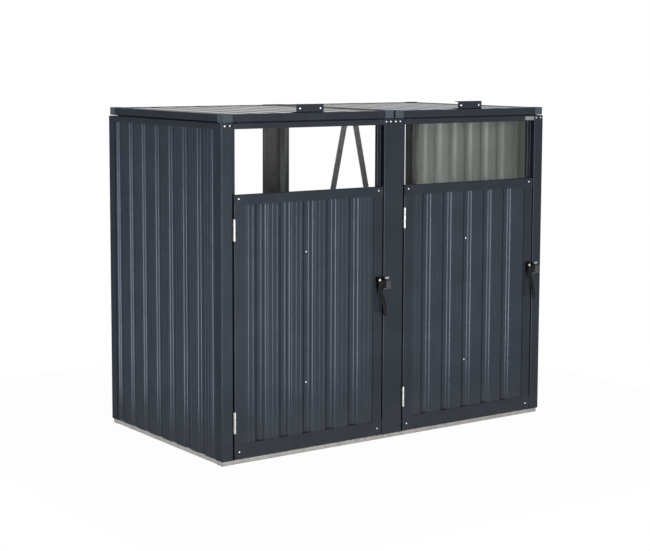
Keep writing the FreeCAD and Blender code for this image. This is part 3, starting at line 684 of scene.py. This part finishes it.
def rib_line(first, last, centre, pitch, reach, groove_depth):
    """The sheet's outer skin and its roundings: wide ribs, and three grooves on each crest.

    reach is the number of ribs to each side of the one at the centre; what passes the sheet's
    edges is left out."""
    half = RIB_FLOOR / 2
    wide = half + RIB_FLANK
    groove = GROOVE_WIDTH / 2
    forms = []
    for step in range(-reach - 1, reach + 1):
        rib = centre + step * pitch
        if step >= -reach:
            forms.append([(rib - wide, 0.0, CREST_ROUND), (rib - half, RIB_DEPTH, FLOOR_ROUND),
                          (rib + half, RIB_DEPTH, FLOOR_ROUND), (rib + wide, 0.0, CREST_ROUND)])
        for number in (-1, 0, 1):
            root = rib + pitch / 2 + number * GROOVE_PITCH
            forms.append([(root - groove, 0.0, GROOVE_EDGE), (root, groove_depth, GROOVE_ROOT),
                          (root + groove, 0.0, GROOVE_EDGE)])
    inside = [form for form in forms if form[0][0] > first and form[-1][0] < last]
    points = [(first, 0.0, 0.0)] + [p for form in inside for p in form] + [(last, 0.0, 0.0)]
    return [(u, v) for u, v, _ in points], [radius for _, _, radius in points]


def ribbed(node, edges, put, run, materials, body, flip=1, ribs=(RIB_PITCH, MANY_RIBS),
           groove_depth=GROOVE_DEPTH, softness=1.0):
    """edges holds the first and last edge and the middle rib; flip is the depth's direction."""
    line, radii = rib_line(*edges, *ribs, groove_depth)
    line = rounded([(u, v * flip) for u, v in line], [radius * softness for radius in radii],
                   step=SHEET_STEP, ease=SHEET_EASE)
    if flip < 0:
        line = line[::-1]
    mesh = strip_mesh(node, line, SHEET_WALL, put, *run)
    finish_mesh(f"{node}_rolled", mesh, materials, body, [node],
                angle=SHEET_SHARP)


def on_wall(x):
    """Places a wall's section: along Y, inwards from x, up along Z."""
    def put(u, v, w):
        return (x + v, u, w)
    return put


def on_door(y):
    """Places a door sheet's section: along X, back from y, up along Z."""
    def put(u, v, w):
        return (u, y + v, w)
    return put


def on_lid(z):
    """Places a lid sheet's section: along X, down from z, back along Y."""
    def put(u, v, w):
        return (u, w, z - v)
    return put


def make_walls():
    for side, flip in (("left", 1), ("right", -1)):
        node = f"wall_{side}"
        low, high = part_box(node)
        outer = low.x if side == "left" else high.x
        ribbed(node, (low.y, high.y, FRONT + WALL_FIRST_RIB), on_wall(outer), (low.z, high.z),
               [sheet_paint, back_coat], "frame", flip, groove_depth=WALL_GROOVE_DEPTH)


def middle_rib(side):
    """The x of a door's middle rib."""
    low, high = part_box(f"door_rail_top_{side}")
    return (low.x + high.x) / 2 + DOOR_RIB_SHIFT


def make_door_and_lid_sheets():
    for side in BAYS:
        node = f"door_sheet_{side}"
        low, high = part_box(node)
        ribbed(node, (low.x, high.x, middle_rib(side)), on_door(low.y), (low.z, high.z),
               [sheet_paint, back_coat], f"door_{side}",
               ribs=(DOOR_RIB_PITCH, DOOR_RIBS_BESIDE_MIDDLE))
        node = f"lid_sheet_{side}"
        low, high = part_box(node)
        ribbed(node, (low.x, high.x, (low.x + high.x) / 2), on_lid(high.z), (low.y, high.y),
               [roof_paint, back_coat], f"lid_{side}", softness=ROOF_SOFTNESS)


# Door frames
def make_door_frame(side):
    body = f"door_{side}"
    coats = [paint, paint]
    node = f"door_rail_top_{side}"
    low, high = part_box(node)
    left, right = low.x, high.x
    line = [(high.y, high.z - DOOR_FLANGE), (high.y, high.z), (low.y, high.z), (low.y, low.z)]
    fold(node, line, WALL, along_x, (left, right), coats, body)
    node = f"door_rail_bottom_{side}"
    low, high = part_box(node)
    line = [(low.y, high.z), (low.y, low.z), (high.y, low.z), (high.y, low.z + DOOR_FLANGE)]
    fold(node, line, WALL, along_x, (low.x, high.x), coats, body)
    node = f"door_stiles_{side}"
    low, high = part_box(node)
    hinge_line = [(left + DOOR_FLANGE, high.y), (left, high.y), (left, low.y),
                  (left + STILE, low.y)]
    latch_line = [(right - STILE, low.y), (right, low.y), (right, high.y),
                  (right - DOOR_FLANGE, high.y)]
    run = (low.z + END_GAP, high.z - END_GAP)
    fold_pair(node, [hinge_line, latch_line], along_z, [run] * 2, coats, body)
    node = f"door_inner_rails_{side}"
    low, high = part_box(node)
    lines = [[(high.y, bottom + INNER_RAIL), (low.y, bottom + INNER_RAIL), (low.y, bottom),
              (high.y, bottom)]
             for bottom in (low.z, high.z - INNER_RAIL)]
    fold_pair(node, lines, along_x, [(low.x, high.x)] * 2, coats, body)


# Lid frames, dark strips that stand in for the shade under them, and handles
def lid_line(face, inward):
    line = [(face + inward * LID_FLANGE, LID_RAIL_TOP), (face, LID_RAIL_TOP),
            (face, LID_BOTTOM), (face + inward * LID_RETURN, LID_BOTTOM)]
    return line if inward > 0 else line[::-1]


# A black strip under each lid, put in to darken the gap: painted shade
GAP_STRIP_WALL = 0.8 * MM
GAP_STRIP_SET = 12.0 * MM
GAP_STRIP_WIDTH = 7 * MM
GAP_STRIP_DROP = 2.4 * MM
GAP_STRIP_BEND = 1.2 * MM
GAP_STRIP_END_GAP = 8 * MM


def shade_strip_line(face, inward):
    start = face + inward * GAP_STRIP_SET
    end = start + inward * GAP_STRIP_WIDTH
    line = [(end, LID_BOTTOM), (end, LID_BOTTOM - GAP_STRIP_DROP),
            (start, LID_BOTTOM - GAP_STRIP_DROP), (start, LID_BOTTOM)]
    return bent(line if inward > 0 else line[::-1], GAP_STRIP_WALL, GAP_STRIP_BEND)


def make_shade_strip(side, low, high):
    """A thin black rubber channel under the front and the sides of a lid, put in as painted shade
    to darken the gap.
    """
    meshes = [strip_mesh("shade_strip", shade_strip_line(face, inward), GAP_STRIP_WALL, along_y,
                         low.y + GAP_STRIP_SET, high.y - 2 * GAP_STRIP_SET)
              for face, inward in ((low.x, 1), (high.x, -1))]
    meshes.append(strip_mesh("shade_strip", shade_strip_line(LID_FRONT, 1), GAP_STRIP_WALL, along_x,
                             low.x + GAP_STRIP_SET + GAP_STRIP_END_GAP, high.x - GAP_STRIP_SET - GAP_STRIP_END_GAP))
    finish_mesh(f"lid_seal_{side}", joined("shade_strip", meshes), [rubber, rubber], f"lid_{side}")


def make_lid_frame(side):
    body = f"lid_{side}"
    for row, inward in (("front", 1), ("rear", -1)):
        node = f"lid_rail_{row}_{side}"
        low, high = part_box(node)
        face = low.y if inward > 0 else high.y
        fold(node, lid_line(face, inward), WALL, along_x, (low.x, high.x), [paint, dark_zinc_painted_shade], body)
    node = f"lid_side_rails_{side}"
    low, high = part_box(node)
    fold_pair(node, [lid_line(low.x, 1), lid_line(high.x, -1)], along_y, [(low.y, high.y)] * 2,
              [paint, dark_zinc_painted_shade], body)
    make_shade_strip(side, low, high)
    node = f"lid_handle_{side}"
    low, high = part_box(node)
    line = [(low.y + HANDLE_LIP, high.z), (low.y, high.z), (low.y, low.z), (high.y, low.z)]
    fold(node, line, HANDLE_WALL, along_x, (low.x, high.x), [paint, paint], body, HANDLE_BEND)


# Hinges: turned knuckles on flat leaves, the headed pin standing in the fixed ones
DOOR_PIN_SIDE = 3 * MM
DOOR_PIN_REACH = 5 * MM
DOOR_LEAF = 21 * MM
HALF_LEAF_GAP = 1.0 * MM
LID_HINGE_INSET = 110 * MM
LID_PIN_BACK = 6 * MM
LID_PIN_RISE = 1.5 * MM
LID_LEAF = 22 * MM
KNUCKLE_END = [(KNUCKLE - 0.6 * MM, 0.0), (KNUCKLE, 0.5 * MM)]
PIN_HEAD = in_metres([(3.6, 0.0), (3.7, 0.7), (2.6, 1.3), (0.0, 1.5)])
PIN_HEAD_HEIGHT = PIN_HEAD[-1][1]


def hinge(name, foot, axis, leaf_corners, leaf, fixed):
    """One leaf with its knuckles: two and the pin's head on the fixed one, one on the other."""
    third = HINGE_LENGTH / 3
    gap = KNUCKLE_GAP / 2
    spans = [(0.0, third - gap), (2 * third + gap, HINGE_LENGTH)]
    if not fixed:
        spans = [(third + gap, 2 * third - gap)]
    foot = Vector(foot)
    meshes = []
    for low, high in spans:
        profile = [(radius, low + height) for radius, height in KNUCKLE_END]
        profile += [(radius, high - height) for radius, height in KNUCKLE_END[::-1]]
        meshes.append(turned(name, profile, foot, axis))
        meshes.append(slab(name, *leaf_corners(0.0, KNUCKLE + KNUCKLE_GAP, low, high)))
    meshes.append(slab(name, *leaf_corners(KNUCKLE + KNUCKLE_GAP, leaf, 0.0, HINGE_LENGTH)))
    if fixed:
        head_foot = foot + Vector(axis) * HINGE_LENGTH
        meshes.append(turned(name, PIN_HEAD, head_foot, axis, 24))
    return meshes


def door_leaf(x, y, z):
    """Corners of a door hinge's leaf, which stands square to the front."""
    def corners(start, end, low, high):
        return (x, y + start, z + low), (x + LEAF_WALL, y + end, z + high)
    return corners


def lid_leaf(x, z, sense):
    """Corners of a lid hinge's leaf, flat on the rear; sense is 1 upwards and -1 downwards."""
    def corners(start, end, low, high):
        bottom, top = sorted((z + sense * start, z + sense * end))
        return (x + low, REAR, bottom), (x + high, REAR + LEAF_WALL, top)
    return corners


def finish_hinges(kind, side, leaves):
    node = f"{kind}_hinge_leaves_{side}"
    finish_mesh(f"{node}_turned", joined(node, leaves), [zinc], f"{kind}_{side}",
                [node])


def finish_fixed_hinges(kind, leaves):
    finish_mesh(f"{kind}_hinge_fixed_turned", joined(f"{kind}_hinge_fixed", leaves), [zinc],
                "frame", [f"{kind}_hinge_leaves_fixed"])


def make_door_hinges():
    low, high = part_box("door_hinge_leaves_fixed")
    y = FRONT - DOOR_PIN_REACH
    fixed_leaves = []
    for side, (near, _) in BAYS.items():
        x = near + DOOR_PIN_SIDE
        moving_leaves = []
        for z in (low.z, high.z - PIN_HEAD_HEIGHT - HINGE_LENGTH):
            for fixed, leaves in ((True, fixed_leaves), (False, moving_leaves)):
                leaf_x = x - HALF_LEAF_GAP - LEAF_WALL if fixed else x + HALF_LEAF_GAP
                leaves.extend(hinge("door_hinge", (x, y, z), UPWARD, door_leaf(leaf_x, y, z),
                                    DOOR_LEAF, fixed))
        finish_hinges("door", side, moving_leaves)
    finish_fixed_hinges("door", fixed_leaves)


def make_lid_hinges():
    y = REAR + LID_PIN_BACK
    z = BODY_TOP + LID_PIN_RISE
    fixed_leaves = []
    for side, (near, far) in LIDS.items():
        moving_leaves = []
        for x in (near + LID_HINGE_INSET, far - LID_HINGE_INSET - HINGE_LENGTH):
            for fixed, leaves in ((True, fixed_leaves), (False, moving_leaves)):
                sense = -1 if fixed else 1
                leaves.extend(hinge("lid_hinge", (x, y, z), RIGHTWARD, lid_leaf(x, z, sense),
                                    LID_LEAF, fixed))
        finish_hinges("lid", side, moving_leaves)
    finish_fixed_hinges("lid", fixed_leaves)


# Latch levers and pivots
LATCH_BASE_WALL = 2 * MM
LEVER_GAP = 0.3 * MM
LEVER_STEPS = 26
LEVER_END_STEPS = 6
LEVER_END = 6 * MM
LEVER_HALF_THICK = 3.5 * MM
LEVER_HALF_WIDE = 6.5 * MM
LEVER_WIDENING = 2.0 * MM
LEVER_SET = 5 * MM
LEVER_SIDES = 20
HUB_HEIGHT = 10 * MM
NOSE_WALL = 7 * MM
NOSE_EASE = 0.9 * MM
NOSE = in_metres([(0, 5), (23, -5), (23, 2.5), (34, 2.5), (34, -34), (17, -34), (0, -5)])
HUB = in_metres([(9.0, 0.0), (10.0, 1.0), (10.0, 9.2), (9.2, 10.0), (4.2, 10.0)])
BOLT = in_metres([(3.9, 0.0), (3.9, 10.5), (5.5, 10.6), (5.5, 12.0), (5.0, 13.0), (3.6, 13.8),
                  (2.0, 14.1), (1.9, 13.0), (0.0, 12.6)])


def lever_ring(centre, wide, thick):
    """A rounded oblong section, flat in the XY plane."""
    ring = []
    for number in range(LEVER_SIDES):
        angle = 2 * math.pi * number / LEVER_SIDES
        cosine, sine = math.cos(angle), math.sin(angle)
        across = math.copysign(abs(cosine) ** 0.55, cosine) * wide
        out = math.copysign(abs(sine) ** 0.7, sine) * thick
        ring.append(centre + Vector((across, out, 0.0)))
    return ring


def lever_mesh(name, pivot, back):
    """A bowed handle that widens towards its rounded end."""
    start = back - LEVER_SET
    front = FRONT - LATCH_REACH + LEVER_HALF_THICK
    bm = bmesh.new()
    rings = []
    for number in range(LEVER_STEPS + 1):
        share = number / LEVER_STEPS
        into_end = number - LEVER_STEPS + LEVER_END_STEPS
        if into_end > 0:
            closing = math.sin(into_end * math.pi / (2 * LEVER_END_STEPS))
            share = 1 - (LEVER_END / LEVER_LENGTH) * (1 - closing)
        drop = LEVER_LENGTH * share
        bow = math.sin(share * math.pi / 2)
        rounding = max(0.0, 1 - (LEVER_LENGTH - drop) / LEVER_END)
        squash = max(0.08, math.sqrt(max(0.0, 1 - rounding ** 2)))
        centre = Vector((pivot.x + LEVER_LEAN * bow ** 2, start + (front - start) * bow,
                         pivot.z - drop))
        wide = (LEVER_HALF_WIDE + LEVER_WIDENING * share) * squash
        ring = lever_ring(centre, wide, LEVER_HALF_THICK * (0.35 + 0.65 * squash))
        rings.append([bm.verts.new(p) for p in ring])
    for lower, upper in zip(rings, rings[1:]):
        for here in range(LEVER_SIDES):
            following = (here + 1) % LEVER_SIDES
            bm.faces.new((lower[here], lower[following], upper[following], upper[here]))
    bm.faces.new(rings[0])
    bm.faces.new(rings[-1])
    return closed_mesh(name, bm)


def make_latch(side):
    pivot = Vector((BAYS[side][1] - PIVOT_INSET, FRONT - LATCH_BASE_WALL, PIVOT_HEIGHT))
    back = pivot.y - LEVER_GAP
    nose = [(pivot.x + u, pivot.z + v) for u, v in NOSE]
    node = f"latch_lever_{side}"
    meshes = [lever_mesh(node, pivot, back),
              turned(node, HUB, (pivot.x, back, pivot.z), FORWARD),
              cut_plate(node, nose, back - HUB_HEIGHT, NOSE_WALL, NOSE_EASE)]
    finish_mesh(f"{node}_cast", joined(node, meshes), [black], f"latch_{side}",
                [node], 40)
    node = f"latch_pivot_{side}"
    finish_mesh(f"{node}_turned", turned(node, BOLT, pivot, FORWARD), [zinc], f"door_{side}",
                [node])


# Latch keepers: a plate with two rivets on the post and a lip over the lever's nose; the lip is a
# brighter copy of the plate's zinc, a painted highlight
KEEPER_SET = 2 * MM
KEEPER_WIDE = 35 * MM
KEEPER_TALL = 31 * MM
KEEPER_NECK = 14 * MM
KEEPER_SHOULDER = 8.5 * MM
KEEPER_RISE = 11 * MM
KEEPER_EASE = 0.35 * MM
LIP_REACH = 15 * MM
LIP_DROP = 7.5 * MM
LIP_WIDE = 16 * MM
LIP_BEND = 2.2 * MM
RIVET_INSET = 6.5 * MM
RIVET = in_metres([(3.0, 0.0), (3.0, 0.4), (2.2, 1.1), (0.0, 1.3)])


def keeper_meshes(edge):
    """The parts of one keeper beside the bay's edge; the lip has the second material, a brighter
    zinc that is a painted highlight.
    """
    left = edge + KEEPER_SET
    right = left + KEEPER_WIDE
    neck = left + KEEPER_NECK
    shoulder = PIVOT_HEIGHT - KEEPER_SHOULDER
    bottom = shoulder - KEEPER_TALL
    top = PIVOT_HEIGHT + KEEPER_RISE
    outline = [(left, bottom), (right, bottom), (right, shoulder), (neck, shoulder),
               (neck, top - WALL), (left, top - WALL)]
    lip_line = [(FRONT, top), (FRONT - LIP_REACH, top), (FRONT - LIP_REACH, top - LIP_DROP)]
    lip = strip_mesh("lip", bent(lip_line, WALL, LIP_BEND), WALL, along_x, left - 2 * KEEPER_SET,
                     edge + LIP_WIDE)
    for face in lip.polygons:
        face.material_index = 1
    meshes = [cut_plate("keeper", outline, FRONT - WALL, WALL, KEEPER_EASE), lip]
    for x in (left + RIVET_INSET, right - RIVET_INSET):
        meshes.append(turned("rivet", RIVET, (x, FRONT - WALL, (shoulder + bottom) / 2), FORWARD,
                             16))
    return meshes


def make_keepers():
    meshes = [mesh for _, edge in BAYS.values() for mesh in keeper_meshes(edge)]
    finish_mesh("latch_keepers_bent", joined("latch_keepers", meshes), [dark_keeper_zinc, keeper_lip_painted_highlight],
                "frame", ["latch_keepers"])


# Screws and bolts, each with its head's radius and height
POST_SCREWS_X = (-775, -753, -38, -17, 8, 30, 751, 776)
POST_SCREWS_Z = 1254.5 * MM
DOOR_SCREWS_INSET = 21 * MM
DOOR_SCREWS_Z = (988 * MM, 46 * MM)
SHEET_SCREWS_Z = (772 * MM, 271 * MM)
HANDLE_BOLTS_INSET = 15 * MM
HANDLE_BOLTS_Z = 1312 * MM
FRAME_SCREW = (3.7 * MM, 2.0 * MM)
SHEET_SCREW = (3.9 * MM, 2.2 * MM)
HANDLE_BOLT = (4.5 * MM, 2.6 * MM)


def dome(radius, height):
    """Profile of a pan head with a small socket in its middle."""
    points = [(radius * 0.97, 0.0), (radius, height * 0.18)]
    for number in range(1, 5):
        angle = math.radians(18 + 16 * number)
        points.append((radius * math.cos(angle) ** 0.8, height * (0.18 + 0.82 * math.sin(angle))))
    socket = radius * 0.35
    return points + [(socket, height), (socket * 0.8, height * 0.65), (0.0, height * 0.5)]


def heads(name, places, axis, size, body):
    meshes = [turned(name, dome(*size), place, axis, 20) for place in places]
    finish_mesh(name, joined(name, meshes), [screw_zinc], body, angle=30)


def make_screws():
    heads("post_screws_front", [(x * MM, FRONT, POST_SCREWS_Z) for x in POST_SCREWS_X], FORWARD,
          FRAME_SCREW, "frame")
    heads("post_screws_rear", [(-x * MM, REAR, POST_SCREWS_Z) for x in POST_SCREWS_X], BACKWARD,
          FRAME_SCREW, "frame")
    for side in BAYS:
        low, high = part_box(f"door_rail_top_{side}")
        corners = [(x, low.y, z) for x in (low.x + DOOR_SCREWS_INSET, high.x - DOOR_SCREWS_INSET)
                   for z in DOOR_SCREWS_Z]
        heads(f"door_screws_{side}", corners, FORWARD, FRAME_SCREW, f"door_{side}")
        rib_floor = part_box(f"door_sheet_{side}")[0].y + RIB_DEPTH
        heads(f"sheet_screws_{side}", [(middle_rib(side), rib_floor, z) for z in SHEET_SCREWS_Z],
              FORWARD, SHEET_SCREW, f"door_{side}")
        low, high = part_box(f"lid_handle_{side}")
        bolts = [(x, low.y, HANDLE_BOLTS_Z)
                 for x in (low.x + HANDLE_BOLTS_INSET, high.x - HANDLE_BOLTS_INSET)]
        heads(f"handle_bolts_{side}", bolts, FORWARD, HANDLE_BOLT, f"lid_{side}")


# CAD nodes that stay, with finished materials and softened edges
def dress(node, material, bevel):
    piece = nodes[node]
    piece.data.materials.clear()
    piece.data.materials.append(material)
    soft = piece.modifiers.new("Soft", "BEVEL")
    soft.width = bevel
    soft.segments = 2
    soft.limit_method = "ANGLE"
    soft.angle_limit = math.radians(40)


def dress_cad_nodes():
    dress("base_rail_left", base_zinc, 0.3 * MM)
    dress("base_rail_right", base_zinc, 0.3 * MM)
    dress("top_tie", paint, 0.3 * MM)
    for side in BAYS:
        dress(f"rear_braces_{side}", brace_zinc, 0.4 * MM)
        dress(f"lid_corner_caps_{side}", cap_paint, 0.5 * MM)
        dress(f"latch_base_{side}", black, 0.7 * MM)
        dress(f"lid_buffers_{side}", rubber, 0.8 * MM)
    dress("blank_plate", plate, 0.3 * MM)


# Floor and world
WHITE = (1.0, 1.0, 1.0, 1.0)
FLOOR_COLOUR = (0.88, 0.88, 0.88, 1.0)
FLOOR_SIZE = 3.0
FLOOR_GLOW_SHARE = 0.97
WORLD_LIGHT = 0.18
WORLD_SEEN = 1.0


def math_node(tree, operation):
    node = tree.nodes.new("ShaderNodeMath")
    node.operation = operation
    return node


def seen_plainly(tree):
    """Whether a ray is a camera, glossy or transmission ray."""
    ray = tree.nodes.new("ShaderNodeLightPath")
    first = math_node(tree, "MAXIMUM")
    link(tree, ray, "Is Camera Ray", first, 0)
    link(tree, ray, "Is Glossy Ray", first, 1)
    second = math_node(tree, "MAXIMUM")
    link(tree, first, "Value", second, 0)
    link(tree, ray, "Is Transmission Ray", second, 1)
    return second


def make_floor():
    """A floor that looks white, with a faint shadow of the object, and lights it as pale ground."""
    bm = bmesh.new()
    bmesh.ops.create_grid(bm, x_segments=1, y_segments=1, size=FLOOR_SIZE / 2)
    mesh = to_mesh("floor", bm)
    floor = bpy.data.objects.new("floor", mesh)
    bpy.context.scene.collection.objects.link(floor)
    material, tree, shader = new_material("floor_white")
    shader.inputs["Base Color"].default_value = FLOOR_COLOUR
    shader.inputs["Roughness"].default_value = 0.9
    shader.inputs["Specular IOR Level"].default_value = 0.1
    glow = tree.nodes.new("ShaderNodeEmission")
    glow.inputs["Color"].default_value = WHITE
    glow.inputs["Strength"].default_value = 1.0
    share = math_node(tree, "MULTIPLY")
    share.inputs[1].default_value = FLOOR_GLOW_SHARE
    mix = tree.nodes.new("ShaderNodeMixShader")
    link(tree, seen_plainly(tree), "Value", share, 0)
    link(tree, share, "Value", mix, "Fac")
    tree.links.new(shader.outputs["BSDF"], mix.inputs[1])
    tree.links.new(glow.outputs["Emission"], mix.inputs[2])
    link(tree, mix, "Shader", tree.nodes["Material Output"], "Surface")
    mesh.materials.append(material)


def make_world():
    world = bpy.data.worlds.new("studio")
    bpy.context.scene.world = world
    world.use_nodes = True
    tree = world.node_tree
    background = tree.nodes["Background"]
    background.inputs["Color"].default_value = WHITE
    strength = tree.nodes.new("ShaderNodeMapRange")
    strength.inputs["To Min"].default_value = WORLD_LIGHT
    strength.inputs["To Max"].default_value = WORLD_SEEN
    link(tree, seen_plainly(tree), "Value", strength, "Value")
    link(tree, strength, "Result", background, "Strength")


# Lamps: name, place, target, size and radiance. The two softboxes reach below the floor's level,
# because the upright sheets mirror what lies lower than the camera
LAMPS = (("front_softbox", (0.1, -5.3, -0.25), (0.1, 0.0, -0.25), (1.4, 2.2), 14.5),
         ("left_softbox", (-4.6, 0.6, -0.1), (-0.8, 0.0, -0.1), (1.4, 2.1), 11.5),
         ("window_light", (-0.9, -4.6, 1.55), (0.4, 0.0, 1.1), (1.2, 0.9), 20.0),
         ("rear_fill", (2.6, 4.6, 0.2), (0.0, 0.4, 0.6), (1.6, 1.2), 5.0),
         ("top_light", (0.0, 0.0, 5.2), (0.0, 0.0, 0.0), (4.0, 4.0), 2.0))


def add_lamp(name, place, target, size, radiance):
    light = bpy.data.lights.new(name, "AREA")
    light.shape = "RECTANGLE"
    light.size, light.size_y = size
    light.energy = radiance * math.pi * size[0] * size[1]
    lamp = bpy.data.objects.new(name, light)
    lamp.location = place
    lamp.visible_camera = False
    lamp.rotation_euler = (Vector(target) - Vector(place)).to_track_quat("-Z", "Y").to_euler()
    bpy.context.scene.collection.objects.link(lamp)


# Camera, fitted to the straight edges in the photo: angles in degrees, lens and sensor in mm
CAMERA_PLACE = (-3.7076, -5.1493, 1.5059)
CAMERA_YAW = 35.5457
CAMERA_PITCH = 6.1753
CAMERA_ROLL = 0.2025
CAMERA_LENS = 85.3768
CAMERA_SENSOR = 36.0
CAMERA_SHIFT = -0.08077


def make_camera():
    yaw, pitch, roll = (math.radians(a) for a in (CAMERA_YAW, CAMERA_PITCH, CAMERA_ROLL))
    ahead = Vector((math.sin(yaw) * math.cos(pitch), math.cos(yaw) * math.cos(pitch),
                    -math.sin(pitch)))
    right = Vector((math.cos(yaw), -math.sin(yaw), 0.0))
    up = right.cross(ahead)
    right, up = (right * math.cos(roll) + up * math.sin(roll),
                 up * math.cos(roll) - right * math.sin(roll))
    data = bpy.data.cameras.new("camera")
    data.sensor_width = CAMERA_SENSOR
    data.lens = CAMERA_LENS
    data.shift_y = CAMERA_SHIFT
    data.clip_start = 0.1
    data.clip_end = 200.0
    camera = bpy.data.objects.new("camera", data)
    turn = Matrix((right, up, -ahead)).transposed().to_4x4()
    camera.matrix_world = Matrix.Translation(CAMERA_PLACE) @ turn
    bpy.context.scene.collection.objects.link(camera)
    bpy.context.scene.camera = camera


make_posts()
make_top_rails()
make_base_rails()
make_walls()
make_door_and_lid_sheets()
for side in BAYS:
    make_door_frame(side)
for side in LIDS:
    make_lid_frame(side)
make_door_hinges()
make_lid_hinges()
for side in BAYS:
    make_latch(side)
make_keepers()
make_screws()
dress_cad_nodes()
make_floor()
make_world()
for lamp in LAMPS:
    add_lamp(*lamp)
make_camera()
bpy.context.scene.view_settings.view_transform = "Standard"
